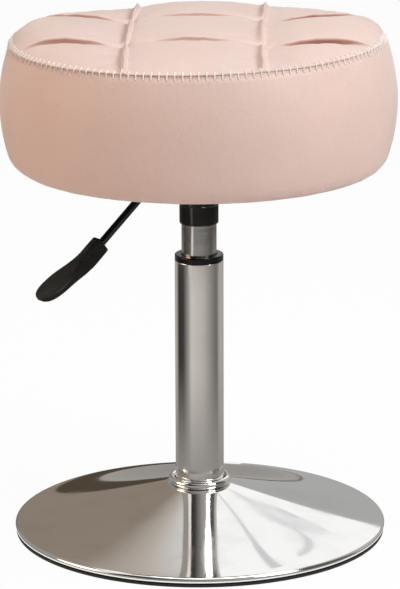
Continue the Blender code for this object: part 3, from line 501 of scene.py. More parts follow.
def plywood_finish():
    look = Finish("birch_plywood")
    plies = look.node(
        "ShaderNodeTexWave", {"bands_direction": "Z"},
        {"Vector": look.place, "Scale": 260.0, "Distortion": 0.6},
    )
    grain = look.noise(scale=1.0, detail=5.0, place=look.stretched((18.0, 260.0, 18.0)))
    wood = look.blend(grain, (0.60, 0.43, 0.26), (0.45, 0.29, 0.15))
    look.set(Base_Color=look.blend(plies * 0.4, wood, (0.33, 0.20, 0.10)), Roughness=0.62 + 0.15 * grain)
    look.relief(grain, depth=0.0002, strength=0.4)
    return look.material


def foam_finish():
    look = Finish("seat_foam")
    pores = look.cells(scale=650.0)
    look.set(Base_Color=look.blend(pores, (0.62, 0.55, 0.38), (0.84, 0.78, 0.60)), Roughness=0.92)
    look.relief(pores, depth=0.0006, strength=0.8)
    return look.material


def dust_cloth_finish():
    """Spun-bonded black cloth with its grid of welded dots."""
    look = Finish("dust_cloth")
    fibres = look.noise(scale=700.0, detail=4.0)
    dots = look.ramp(look.cells(scale=420.0), low=0.2, high=0.35)
    look.set(Base_Color=look.blend(fibres, (0.010, 0.010, 0.011), (0.035, 0.035, 0.037)), Roughness=0.9)
    look.relief(dots + 0.4 * fibres, depth=0.0003, strength=0.6)
    return look.material


# Mesh helpers


def mesh_of(name, bm):
    mesh = bpy.data.meshes.new(name)
    bm.to_mesh(mesh)
    bm.free()
    return mesh


def linked(name, data):
    made = bpy.data.objects.new(name, data)
    bpy.context.scene.collection.objects.link(made)
    return made


def piece(name, bm, body, material, replaced=(), sharp=None):
    """Makes a bmesh a finished piece that rides on a body and stands for CAD nodes."""
    bmesh.ops.recalc_face_normals(bm, faces=bm.faces)
    mesh = mesh_of(name, bm)
    mesh.shade_smooth()
    if sharp:
        mesh.set_sharp_from_angle(angle=sharp)
    mesh.materials.append(material)
    made = linked(name, mesh)
    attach(made, body)
    if replaced:
        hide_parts(*replaced)
    return made


def rounded(corners):
    """A profile through (radius, z, fillet) corners, each rounded, with a support beside each fillet."""
    points = []
    for i, (radius, z, fillet) in enumerate(corners):
        corner = Vector((radius, z))
        if not fillet:
            points.append((radius, z))
            continue
        before = (Vector(corners[i - 1][:2]) - corner).normalized()
        after = (Vector(corners[(i + 1) % len(corners)][:2]) - corner).normalized()
        reach_back = fillet / math.tan(before.angle(after) / 2)
        start, end = corner + before * reach_back, corner + after * reach_back
        points.append(tuple(start + before * SUPPORT))
        for k in range(FILLET_STEPS + 1):
            t = k / FILLET_STEPS
            points.append(tuple((1 - t) ** 2 * start + 2 * t * (1 - t) * corner + t * t * end))
        points.append(tuple(end + after * SUPPORT))
    return points


def arc(centre, radius, start, end, steps):
    """Profile points on an arc, with its angles in degrees."""
    angles = (math.radians(start + (end - start) * i / steps) for i in range(steps + 1))
    return [(centre[0] + radius * math.cos(a), centre[1] + radius * math.sin(a)) for a in angles]


def turned(profile, steps=TURN_STEPS):
    """A closed profile of (radius, z) points, spun round the column's axis."""
    bm = bmesh.new()
    verts = [bm.verts.new((radius, 0.0, z)) for radius, z in profile]
    edges = [bm.edges.new(pair) for pair in zip(verts, verts[1:] + verts[:1])]
    bmesh.ops.spin(
        bm, geom=verts + edges, cent=(0, 0, 0), axis=(0, 0, 1), angle=2 * math.pi, steps=steps, use_merge=True
    )
    bmesh.ops.remove_doubles(bm, verts=bm.verts, dist=MERGE)
    return bm


def lofted(bm, sections, sides, squareness=1.0):
    """Extrudes a ring through section matrices and closes its ends; a ring's unit is its half width."""
    ring = bmesh.ops.create_circle(bm, segments=sides, radius=1.0)["verts"]
    for vert in ring:
        vert.co.x = math.copysign(abs(vert.co.x) ** squareness, vert.co.x)
        vert.co.y = math.copysign(abs(vert.co.y) ** squareness, vert.co.y)
    edges = list({edge for vert in ring for edge in vert.link_edges})
    ends = list(edges)
    bmesh.ops.transform(bm, matrix=sections[0], verts=ring)
    for last, section in zip(sections, sections[1:]):
        grown = bmesh.ops.extrude_edge_only(bm, edges=edges)["geom"]
        ring = [item for item in grown if isinstance(item, bmesh.types.BMVert)]
        edges = [item for item in grown if isinstance(item, bmesh.types.BMEdge)]
        edges = [edge for edge in edges if all(vert in ring for vert in edge.verts)]
        bmesh.ops.transform(bm, matrix=section @ last.inverted(), verts=ring)
    bmesh.ops.edgeloop_fill(bm, edges=ends + edges)


def along_path(points, radii):
    """Section matrices that follow a path, with a radius at each point."""
    points = [Vector(point) for point in points]
    sections = []
    side = None
    for i, (place, radius) in enumerate(zip(points, radii)):
        forward = (points[min(i + 1, len(points) - 1)] - points[max(i - 1, 0)]).normalized()
        if side is None:
            side = forward.orthogonal()
        side = (side - forward * side.dot(forward)).normalized()
        turn = Matrix((side, forward.cross(side), forward)).transposed().to_4x4()
        sections.append(Matrix.Translation(place) @ turn @ Matrix.Diagonal((radius, radius, 1.0, 1.0)))
    return sections


def eased(stations, steps):
    """Fills in stations on a smooth curve through them."""
    points = [Vector(station) for station in stations]
    smooth = []
    for i in range(len(points) - 1):
        before, start, end = points[max(i - 1, 0)], points[i], points[i + 1]
        after = points[min(i + 2, len(points) - 1)]
        for k in range(steps):
            t = k / steps
            smooth.append(
                start
                + (end - before) * (t / 2)
                + (2 * before - 5 * start + 4 * end - after) * (t**2 / 2)
                + (3 * start - before - 3 * end + after) * (t**3 / 2)
            )
    return smooth + [points[-1]]


# Base

COLLAR_FLAT = 0.6  # share of the collar's width that is flat
INNER_SPACING = 5  # rings of the outer face for each ring of the hidden inner face
EDGE_RING_WIDTH = 0.0145


def flare_z(base, start, radius):
    """Height of the trumpet's outer face."""
    low = base.rim_z + 2 * base.bead
    along = (radius - start) / (base.radius - base.bead - start)
    return low + (base.crown_z - low) * (1 - along) ** base.concavity


class STOOL_OT_base(bpy.types.Operator):
    """Spins the chromed base and the rubber ring under its rim"""

    bl_idname = "stool.base"
    bl_label = "Base"

    def execute(self, context):
        base, column = context.scene.stool_base, context.scene.stool_column
        self.shell(base, column)
        self.edge_ring(base, column)
        return {"FINISHED"}

    def shell(self, base, column):
        hole = column.radius + GAP
        start = hole + base.collar
        width = base.radius - base.bead - start
        radii = [start + width * i / FLARE_STEPS for i in range(FLARE_STEPS + 1)]
        centre = (base.radius - base.bead, base.rim_z + base.bead)
        outer = [(hole, base.crown_z), (hole + COLLAR_FLAT * base.collar, base.crown_z)]
        outer += [(r, flare_z(base, start, r)) for r in radii]
        outer += arc(centre, base.bead, 90, -90, RIM_STEPS)[1:]
        inner = arc(centre, base.bead - base.sheet, -90, 90, RIM_INNER_STEPS)
        inner += [(r, flare_z(base, start, r) - base.sheet) for r in reversed(radii[:-1:INNER_SPACING])]
        inner += [(hole, base.crown_z - base.sheet)]
        bm = turned(outer + inner, 2 * TURN_STEPS)
        piece("trumpet_base", bm, "base", chrome_finish(base), ["base_shell"])

    def edge_ring(self, base, column):
        outer = reach("base_edge_ring")
        inner = outer - EDGE_RING_WIDTH
        lip = base.radius - base.bead - GAP
        flat, high = base.rim_z - GAP, top("base_edge_ring")
        corners = (
            (outer, flat, SMALL_FILLET), (outer, 0.0, FILLET), (inner, 0.0, SMALL_FILLET),
            (inner, high, SMALL_FILLET), (lip, high, SMALL_FILLET), (lip, flat, 0),
        )
        bm = turned(rounded(corners), 2 * TURN_STEPS)
        piece("edge_ring", bm, "base", rubber_finish(column), ["base_edge_ring"])


# Column and gas spring

TRIM_ROUND = 0.84  # height of the trim ring's round bead, as a share of its CAD node's
COLUMN_TAPER = 0.0008
CYLINDER_WALL = 0.002
CYLINDER_LIP = 0.0015
CYLINDER_TAPER = 0.0007
COLLAR_TAPER = 0.0004
COLLAR_MOUTH_FILLET = 0.0014
COLLAR_STEP_FILLET = 0.0008
COLLAR_BOSS_FILLET = 0.0015
BUSH_ROUGHNESS = 0.2


class STOOL_OT_column(bpy.types.Operator):
    """Spins the column, its trim ring, the guide bush, the gas cylinder and the black collar"""

    bl_idname = "stool.column"
    bl_label = "Column"

    def execute(self, context):
        base, column = context.scene.stool_base, context.scene.stool_column
        self.tube(base, column)
        self.trim_ring(base, column)
        self.bush(column)
        self.cylinder(column)
        self.collar(column)
        return {"FINISHED"}

    def tube(self, base, column):
        outer, inner = column.radius, column.radius - column.wall
        foot, head = bottom("column_tube"), top("column_tube")
        corners = (
            (outer, head, SMALL_FILLET), (outer, base.crown_z, 0), (outer - COLUMN_TAPER, foot, SMALL_FILLET),
            (inner - COLUMN_TAPER, foot, SMALL_FILLET), (inner, head, SMALL_FILLET),
        )
        look = tube_chrome_finish(base)
        piece("outer_column", turned(rounded(corners)), "base", look, ["column_tube"])

    def trim_ring(self, base, column):
        low, high = bottom("column_trim_ring"), top("column_trim_ring")
        across, up = column.trim_width / 2, (high - low) * TRIM_ROUND / 2
        radius, z = column.radius + GAP + across, low + up
        turns = [2 * math.pi * i / BEAD_STEPS for i in range(BEAD_STEPS)]
        bm = turned([(radius + across * math.sin(a), z + up * math.cos(a)) for a in turns])
        piece("trim_ring", bm, "base", chrome_finish(base), ["column_trim_ring"])

    def bush(self, column):
        low, high = bottom("column_guide_bush"), top("column_guide_bush")
        bore = column.cylinder_radius + RUNNING_FIT
        sleeve = column.radius - column.wall - GAP
        lip = top("column_tube") + GAP
        corners = (
            (column.radius, high, 2 * SMALL_FILLET), (column.radius, lip, SMALL_FILLET / 2), (sleeve, lip, 0),
            (sleeve, low, SMALL_FILLET), (bore, low, SMALL_FILLET), (bore, high, SMALL_FILLET),
        )
        look = black_plastic_finish(column, "bush_plastic", BUSH_ROUGHNESS)
        piece("guide_bush", turned(rounded(corners)), "base", look, ["column_guide_bush"])

    def cylinder(self, column):
        outer = column.cylinder_radius
        low, high = bottom("gas_cylinder"), top("gas_cylinder")
        collar_z = bottom("taper_socket")
        bore, lip = outer - CYLINDER_WALL, CYLINDER_LIP
        mouth = bore - 2 * lip
        corners = (
            (outer - CYLINDER_TAPER, high, SMALL_FILLET), (outer, collar_z, 0), (outer, low, FILLET),
            (mouth, low, 0), (mouth, low + lip, 0), (bore, low + lip, 0), (bore, collar_z, 0),
            (bore - CYLINDER_TAPER, high - lip, 0), (mouth - lip, high - lip, 0), (mouth - lip, high, 0),
        )
        look = ground_steel_finish(column)
        piece("gas_tube", turned(rounded(corners)), "seat", look, ["gas_cylinder"])

    def collar(self, column):
        outer = column.cylinder_radius + column.collar_wall
        boss = outer + column.collar_step
        low, neck = bottom("taper_socket"), top("taper_socket")
        edge = reach("taper_socket")
        under = bottom("seat_plate") - GAP
        step = low + column.collar_step_z
        corners = (
            (outer, neck, SMALL_FILLET), (outer, under, 0), (edge, under, SMALL_FILLET),
            (edge, under - column.flange, FILLET), (boss, under - column.flange, COLLAR_BOSS_FILLET),
            (boss, step + column.collar_step / 2, COLLAR_STEP_FILLET), (outer, step, COLLAR_STEP_FILLET),
            (outer, low, COLLAR_MOUTH_FILLET), (column.cylinder_radius + GAP, low, SMALL_FILLET / 2),
            (column.cylinder_radius - COLLAR_TAPER, neck, 0),
        )
        look = gloss_black_finish(column)
        piece("black_collar", turned(rounded(corners)), "seat", look, ["taper_socket"])


# Lever

# Distance along the handle, width, thickness; its top face runs straight on from the neck
HANDLE_STATIONS = (
    (0.0000, 0.0105, 0.0160),
    (0.0015, 0.0120, 0.0180),
    (0.0200, 0.0120, 0.0185),
    (0.0290, 0.0145, 0.0170),
    (0.0385, 0.0205, 0.0140),
    (0.0475, 0.0270, 0.0106),
    (0.0560, 0.0312, 0.0084),
    (0.0650, 0.0328, 0.0074),
    (0.0730, 0.0322, 0.0066),
    (0.0800, 0.0280, 0.0062),
    (0.0850, 0.0200, 0.0056),
    (0.0878, 0.0105, 0.0045),
)
HANDLE_NECK = 2  # the station where the neck starts to turn into the blade
HANDLE_BLADE = 6  # the station where the blade is flat
HANDLE_SQUARENESS = 0.32  # 1 is an oval section, less is squarer
HANDLE_ROUGHNESS = 0.44
# The least angle of an edge that looks sharp
ROD_CREASE = math.radians(50)
HANDLE_CREASE = math.radians(60)


class STOOL_OT_lever(bpy.types.Operator):
    """Bends the release rod and moulds its handle"""

    bl_idname = "stool.lever"
    bl_label = "Lever"

    def execute(self, context):
        lever, column = context.scene.stool_lever, context.scene.stool_column
        pivot = Vector(JOINTS["lever_pivot"]["pos_m"])
        forward = Vector((pivot.x, pivot.y, 0.0)).normalized()
        turn = Matrix((forward, UP.cross(forward), UP)).transposed().to_4x4()
        self.frame = Matrix.Translation(pivot) @ turn
        self.pivot_reach = Vector((pivot.x, pivot.y)).length
        self.rod(lever, column)
        self.handle(lever, column)
        return {"FINISHED"}

    def slope_point(self, lever, distance):
        """A point on the rod's sloping run, in the pivot's frame."""
        along = lever.bend_reach - self.pivot_reach + distance * math.cos(lever.drop)
        return Vector((along, 0, -distance * math.sin(lever.drop)))

    def rod(self, lever, column):
        tangent = lever.bend_radius * math.tan(lever.drop / 2)
        start = lever.bend_reach - self.pivot_reach - tangent
        turns = [lever.drop * i / BEND_STEPS for i in range(BEND_STEPS + 1)]
        bend = [
            (start + lever.bend_radius * math.sin(a), 0, lever.bend_radius * (math.cos(a) - 1)) for a in turns
        ]
        tail = -self.pivot_reach - lever.tail
        points = [(tail, 0, 0), (tail + SMALL_FILLET, 0, 0)] + bend
        points.append(self.slope_point(lever, lever.slope + lever.socket - GAP))
        radii = [lever.rod_radius - SMALL_FILLET] + [lever.rod_radius] * (len(points) - 1)
        bm = bmesh.new()
        lofted(bm, along_path(points, radii), TUBE_SIDES)
        bmesh.ops.transform(bm, matrix=self.frame, verts=bm.verts)
        look = gloss_black_finish(column)
        piece("release_rod", bm, "lever", look, ["lever_rod"], sharp=ROD_CREASE)

    def handle(self, lever, column):
        neck, _, neck_thickness = HANDLE_STATIONS[HANDLE_NECK]
        blade = HANDLE_STATIONS[HANDLE_BLADE][0]
        bore = 2 * (lever.rod_radius + GAP)
        socket = [Vector((lever.socket, bore, bore)), Vector((0.0, bore, bore))]
        stations = socket + eased(HANDLE_STATIONS, HANDLE_STEPS)
        place = self.slope_point(lever, lever.slope)
        last = 0.0
        sections = []
        for distance, width, thickness in stations:
            outside = len(sections) > 1 and distance > neck
            bent = min((distance - neck) / (blade - neck), 1.0) if outside else 0.0
            drop = lever.drop + (lever.handle_drop - lever.drop) * bent
            along = Vector((math.cos(drop), 0, -math.sin(drop)))
            rise = Vector((math.sin(drop), 0, math.cos(drop)))
            place = place + along * (distance - last)
            last = distance
            raised = rise * (neck_thickness - thickness) / 2 if outside else Vector()
            turn = Matrix((Vector((0, 1, 0)), rise, along)).transposed().to_4x4()
            scale = Matrix.Diagonal((width / 2, thickness / 2, 1.0, 1.0))
            sections.append(Matrix.Translation(place + raised) @ turn @ scale)
        bm = bmesh.new()
        lofted(bm, sections, HANDLE_SIDES, HANDLE_SQUARENESS)
        bmesh.ops.transform(bm, matrix=self.frame, verts=bm.verts)
        look = black_plastic_finish(column, "handle_plastic", HANDLE_ROUGHNESS)
        piece("paddle_handle", bm, "lever", look, ["lever_handle"], sharp=HANDLE_CREASE)


# Seat

# How the leather rises and falls between its sewn lines
ROLL_POWER = 2.3
BACK_ROLL_POWER = 3.1
BACK_ROLL = 0.65  # width of the roll at the back, as a share of its width in front
BACK_START = 0.3  # where the roll starts to change, as a share of the radius in front of the middle
BELLY_EASE = 0.03
INNER_DIP_WIDTH = 0.024
OUTER_DIP_WIDTH = 0.030
OUTER_DIP_POWER = 1.3
CREASE_FRONT = 0.012
CREASE_BACK = 0.007
CREASE_POWER = 1.2
CREASE_RELEASE = 0.6  # share of a crease that is gone behind the middle of its slit
SLIT_WALL = 0.0015
SLIT_FROM_PLEAT = 0.018
SLIT_FROM_SEAM = 0.007
MIDDLE_SLIT_HALF = 0.040
SLIT_POWER = 0.75
# How much higher each panel is stuffed: front, middle and back row, each from left to right
STUFFING = ((0.0015, -0.001, 0.0045), (0.002, 0.0, 0.0035), (0.0, 0.0015, 0.0005))
STUFFING_EASE = 0.03
PLEAT_LEFT = 0.0031
PLEAT_RIGHT = 0.0019
PLEAT_POWER = 1.6
PLEAT_FADE = 0.014  # at the front end of each row
PLEAT_TIP = 0.0035  # at the back end, where the pleat stands up as a tip
PLEAT_RIM_FADE = 0.008
PLEAT_RIM_DROP = 0.9  # how much lower it is at the seam
PLEAT_WAVER = 0.0009
PLEAT_WAVER_PITCH = 34
# Puckers, with their waves to a metre out from a sewn line and along it
GATHER_HEIGHT = 0.0007
GATHER_REACH = 0.011
GATHER_OUT = 22
GATHER_ALONG = 120
TOP_WAVE = 0.0004
TOP_WAVE_PITCH = 38
# How far inside the seam the top follows its climb
CLIMB_REACH = 0.05
# How strongly painted shade darkens the leather: in slits, beside pleats, on the seam's wall and at the lower
# edge
SHADE_POWER = 0.6
SHADE_LEAST = 0.4  # in a slit that hardly gapes
SHADE_FRONT = 0.004
SHADE_WALL = 0.75  # where it starts to fade on a slit's wall, as a share of the wall
SHADE_WALL_FADE = 0.5
SHADE_IN_SLIT = 0.95
# Painted shadow on the left flank of each pleat: its strength, how far left its middle lies and its width
SHADE_BESIDE_PLEAT = 0.34
SHADE_OFFSET = 0.0042
SHADE_WIDTH = 0.0032
# Painted shade on the wall under the seam, and towards the side band's lower edge
SEAM_WALL_SHADE = 0.2
LOWER_EDGE_SHADE = 0.3
LOWER_EDGE_SHADE_REACH = 0.010
# How the filling is simulated
FILLING_FRAMES = 20
FILLING_QUALITY = 6
FILLING_PRESSURE = 4.0
LEATHER_GIVE = 0.02
BLANK_DEPTH = 0.03
# How the side bulges and waves; a wave has its height and its waves to a metre
SHOULDER_POWER = 1.75
SIDE_POWER = 2.2
SIDE_WAVES = ((0.0007, 13), (0.00025, 45))
LIP_STEPS = 4
LIP_SPACING = 0.0009
LIP_DRAW = 0.0008
STITCH_PULL = 0.00045
STITCH_PULL_REACH = 0.006
EDGE_GATHER = 0.0006
EDGE_GATHER_PITCH = 14
EDGE_GATHER_REACH = 0.012
# The thread, and how far from the seam it bends and dives in, on the top and down the side
THREAD_RADIUS = 0.0008
THREAD_END = 0.8
STITCH_IN = 0.0046
STITCH_MIDWAY_IN = 0.0022
STITCH_MIDWAY_DOWN = 0.0031
STITCH_DOWN = 0.0054
STITCH_WANDER = 0.0005
STITCH_WANDER_PITCH = 1.7
STITCH_BEND = 0.0006
STITCH_OVER = 0.6  # share of the lift that is left over the seam
SEAM_CLEAR = 0.0002
# How far the thread's middle lies above the leather in front, and how much lower it lies behind
STITCH_LIFT = 0.00015
STITCH_SINK = 0.0007
STITCH_SINK_START = 0.3
STITCH_DIVE = 0.0004  # how deep its ends dive
HOLE_RADIUS = 0.0006
HOLE_MOUTH = 0.0004
HOLE_DEPTH = 0.0004
HOLE_PROUD = 0.00005
HOLE_LEAN = 0.4
# What is under the seat
CLOTH_WAVE = 0.00025
CLOTH_WAVE_PITCH = 30
CLOTH_CENTRE = 1e-4
STAPLES = 56
STAPLE_CROWN = 0.0105
STAPLE_LEG = 0.0015
STAPLE_WIRE = 0.0004
STAPLE_PROUD = 0.0002
STAPLE_LEAN = 0.25
STAPLE_LEAN_PITCH = 2.3


def crowd(t, crowding):
    """Moves evenly spaced shares of a panel towards its two sewn edges."""
    return t - crowding * math.sin(2 * math.pi * t) / (2 * math.pi)


def panel_share(u, crowding):
    """Splits a grid coordinate from -1 to 1 into the panel (-1, 0 or 1) and the share across it."""
    whole = (u + 1) * 1.5
    panel = min(int(whole + 1e-6), 2)
    return panel - 1, crowd(min(max(whole - panel, 0.0), 1.0), crowding)


def corner_point(seat, t, w):
    """A point of a corner panel, between two sewn lines and the round edge."""
    half, rim = seat.tuft_half, seat.seam_radius
    far = math.sqrt(rim**2 - half**2)
    start = math.atan2(half, far)
    span = math.radians(45) - start
    low = Vector((half + t * (far - half), half))
    left = Vector((half, half + w * (far - half)))
    right = rim * Vector((math.cos(start + w * span), math.sin(start + w * span)))
    high = rim * Vector((math.sin(start + t * span), math.cos(start + t * span)))
    tip = rim * Vector((math.sqrt(0.5), math.sqrt(0.5)))
    corners = (1 - t) * (1 - w) * Vector((half, half)) + t * (1 - w) * Vector((far, half))
    corners += (1 - t) * w * Vector((half, far)) + t * w * tip
    return (1 - w) * low + w * high + (1 - t) * left + t * right - corners


def tuft_plan(seat, u, v, crowding):
    """Maps a square grid onto the round top so that its lines follow the sewn lines."""
    (column, across), (row, along) = panel_share(u, crowding), panel_share(v, crowding)
    half = seat.tuft_half
    out_x = across if column > 0 else 1 - across
    out_y = along if row > 0 else 1 - along
    x, y = (2 * across - 1) * half, (2 * along - 1) * half
    if column and row:
        point = corner_point(seat, out_x, out_y)
        return Vector((column * point.x, row * point.y))
    if column:
        x = column * (half + out_x * (math.sqrt(seat.seam_radius**2 - y * y) - half))
    if row:
        y = row * (half + out_y * (math.sqrt(seat.seam_radius**2 - x * x) - half))
    return Vector((x, y))


def tufted_grid(seat, steps, crowding, height):
    """A grid on the round plan, raised by a function of the plan's x and y."""
    bm = bmesh.new()
    bmesh.ops.create_grid(bm, x_segments=3 * steps, y_segments=3 * steps, size=1.0)
    for vert in bm.verts:
        plan = tuft_plan(seat, vert.co.x, vert.co.y, crowding)
        vert.co = (plan.x, plan.y, height(plan.x, plan.y))
    return bm


def close_below(bm, z):
    """Gives a sheet a wall down to z and a flat underside."""
    rim = [edge for edge in bm.edges if edge.is_boundary]
    grown = bmesh.ops.extrude_edge_only(bm, edges=rim)["geom"]
    for vert in grown:
        if isinstance(vert, bmesh.types.BMVert):
            vert.co.z = z
    bmesh.ops.contextual_create(bm, geom=[edge for edge in bm.edges if edge.is_boundary])


def to_lines(seat, x, y):
    """Signed distances to the nearest pleat and to the nearest crease."""
    to_pleat = min((x - seat.tuft_half, x + seat.tuft_half), key=abs)
    to_crease = min((y - seat.tuft_half, y + seat.tuft_half), key=abs)
    return to_pleat, to_crease


def from_rim(seat, x, y):
    return max(seat.seam_radius - math.hypot(x, y), 0.0)


def slit(seat, x):
    """How far a crease gapes: 1 at the middle of its slit, 0 at the slit's ends and beyond."""
    if abs(x) > seat.tuft_half:
        start = seat.tuft_half + SLIT_FROM_PLEAT
        end = math.sqrt(seat.seam_radius**2 - seat.tuft_half**2) - SLIT_FROM_SEAM
        along = (abs(x) - start) / (end - start)
    else:
        along = (x / MIDDLE_SLIT_HALF + 1) / 2
    return max(4 * along * (1 - along), 0.0) ** SLIT_POWER


def eased_step(t):
    """0 at 0 and below, 1 at 1 and above, and smooth between them."""
    t = min(max(t, 0.0), 1.0)
    return t * t * (3 - 2 * t)


def slit_opening(seat, x):
    """How far the creases of the panel at x gape at their middle."""
    if abs(x) <= seat.tuft_half:
        return seat.middle_slit
    return seat.right_slit if x > 0 else seat.left_slit


def crease_depth(seat, x, to_crease):
    """Depth of a crease: it rolls down in front and gapes up to a steep wall behind."""
    gape = slit(seat, x)
    deepest = seat.crease + slit_opening(seat, x) * gape
    if to_crease <= 0:
        return deepest * math.exp(-((-to_crease / CREASE_FRONT) ** CREASE_POWER))
    behind = seat.crease * (1 - CREASE_RELEASE * gape)
    wall = (deepest - behind) * max(1 - to_crease / SLIT_WALL, 0.0)
    return wall + behind * math.exp(-((to_crease / CREASE_BACK) ** CREASE_POWER))


def stuffing(seat, x, y):
    """How much higher the panel at a place is stuffed."""
    column, row = [(place > seat.tuft_half) - (place < -seat.tuft_half) for place in (x, y)]
    ease = 1.0
    for place in (x, y):
        ease *= eased_step(abs(abs(place) - seat.tuft_half) / STUFFING_EASE)
    return STUFFING[row + 1][column + 1] * ease


def edge_roll(seat, x, y):
    """How far a place has risen from the seam, from 0 to 1: rounder in front and steeper behind."""
    behind = eased_step(y / seat.seam_radius + BACK_START)
    width = seat.roll * (1 + (BACK_ROLL - 1) * behind)
    steepness = ROLL_POWER + (BACK_ROLL_POWER - ROLL_POWER) * behind
    return 1 - max(1 - from_rim(seat, x, y) / width, 0.0) ** steepness


def panel_height(seat, x, y):
    """Height of the puffed panels above the seam."""
    to_pleat, to_crease = to_lines(seat, x, y)
    crown = seat.crown - seat.row_fall * (y / seat.seam_radius) ** 2 + stuffing(seat, x, y)
    crown -= seat.corner_fall * (2 * x * y / seat.seam_radius**2) ** 2
    if abs(x) > seat.tuft_half:
        crown *= 1 - seat.outer_dip * math.exp(-((abs(to_pleat) / OUTER_DIP_WIDTH) ** OUTER_DIP_POWER))
    else:
        middle = 1 - seat.inner_dip * math.exp(-abs(to_pleat) / INNER_DIP_WIDTH)
        crown *= middle - (seat.outer_dip - seat.inner_dip) * math.exp(-((to_pleat / PLEAT_LEFT) ** 2))
    return seat.edge + edge_roll(seat, x, y) * (crown - crease_depth(seat, x, to_crease))


def slack_height(seat, x, y):
    """Height of the panels before the filling swells their bellies."""
    distances = (*to_lines(seat, x, y), from_rim(seat, x, y))
    belly = math.prod(eased_step(abs(distance) / BELLY_EASE) for distance in distances)
    return panel_height(seat, x, y) - seat.swell * belly


def pleat_ends(seat, x, y):
    """1 along a pleat, fading out at the creases and at the seam."""
    to_crease = to_lines(seat, x, y)[1]
    fade = PLEAT_FADE if to_crease > 0 else PLEAT_TIP
    inside = 1 - math.exp(-((to_crease / fade) ** 2))
    return inside * (1 - PLEAT_RIM_DROP * math.exp(-from_rim(seat, x, y) / PLEAT_RIM_FADE))


def pleat(seat, x, y):
    """Height of the folded pleats above the panels: steep on the right, sloping on the left."""
    waver = PLEAT_WAVER * noise.noise(Vector((0.0, y * PLEAT_WAVER_PITCH, x > 0)))
    to_pleat = to_lines(seat, x, y)[0] + waver
    width = PLEAT_RIGHT if to_pleat > 0 else PLEAT_LEFT
    ridge = math.exp(-((abs(to_pleat) / width) ** PLEAT_POWER))
    return seat.pleat_height * ridge * pleat_ends(seat, x, y)


def gathers(seat, x, y):
    """Small puckers that run out from the sewn lines."""
    to_pleat, to_crease = to_lines(seat, x, y)
    inside = min(from_rim(seat, x, y) / seat.roll, 1.0)
    at_pleat = noise.noise(Vector((x * GATHER_OUT, y * GATHER_ALONG, 0.0)))
    at_crease = noise.noise(Vector((x * GATHER_ALONG, y * GATHER_OUT, 4.0)))
    near_pleat, near_crease = [math.exp(-abs(d) / GATHER_REACH) for d in (to_pleat, to_crease)]
    return GATHER_HEIGHT * inside * (at_pleat * near_pleat + at_crease * near_crease)


def painted_shade_mask(seat, x, y):
    """How much painted shade a place of the top gets, from 0 to 1: in and around the slits of the creases and
    beside the pleats.
    """
    to_pleat, to_crease = to_lines(seat, x, y)
    opening = slit_opening(seat, x) / seat.right_slit
    gape = slit(seat, x) ** SHADE_POWER * (SHADE_LEAST + (1 - SHADE_LEAST) * opening)
    # Painted shade on the slit's back wall, and just in front of the crease
    if to_crease > 0:
        wall = 1 - eased_step((to_crease / SLIT_WALL - SHADE_WALL) / SHADE_WALL_FADE)
    else:
        wall = math.exp(-((to_crease / SHADE_FRONT) ** 2))
    # Painted shadow beside each pleat, on its left
    beside = math.exp(-(((to_pleat + SHADE_OFFSET) / SHADE_WIDTH) ** 2)) * pleat_ends(seat, x, y)
    return min(1.0, SHADE_IN_SLIT * gape * wall + SHADE_BESIDE_PLEAT * beside)


def slid(seat, place, level, follow):
    """Moves a place near the seam along the round edge, because the seam climbs to the right."""
    out = Vector((place.x, place.y, 0)) / math.hypot(place.x, place.y)
    shift = seat.climb * out.x * follow
    return place + out * (side_radius(seat, level + shift) - side_radius(seat, level)) + UP * shift


# Stores the painted-shade mask on each point of a mesh
def add_painted_shade_attribute(mesh, values):
    layer = mesh.attributes.new("fold", "FLOAT", "POINT")
    layer.data.foreach_set("value", values)


def tree_of(mesh):
    places = [vert.co for vert in mesh.vertices]
    return BVHTree.FromPolygons(places, [face.vertices for face in mesh.polygons])


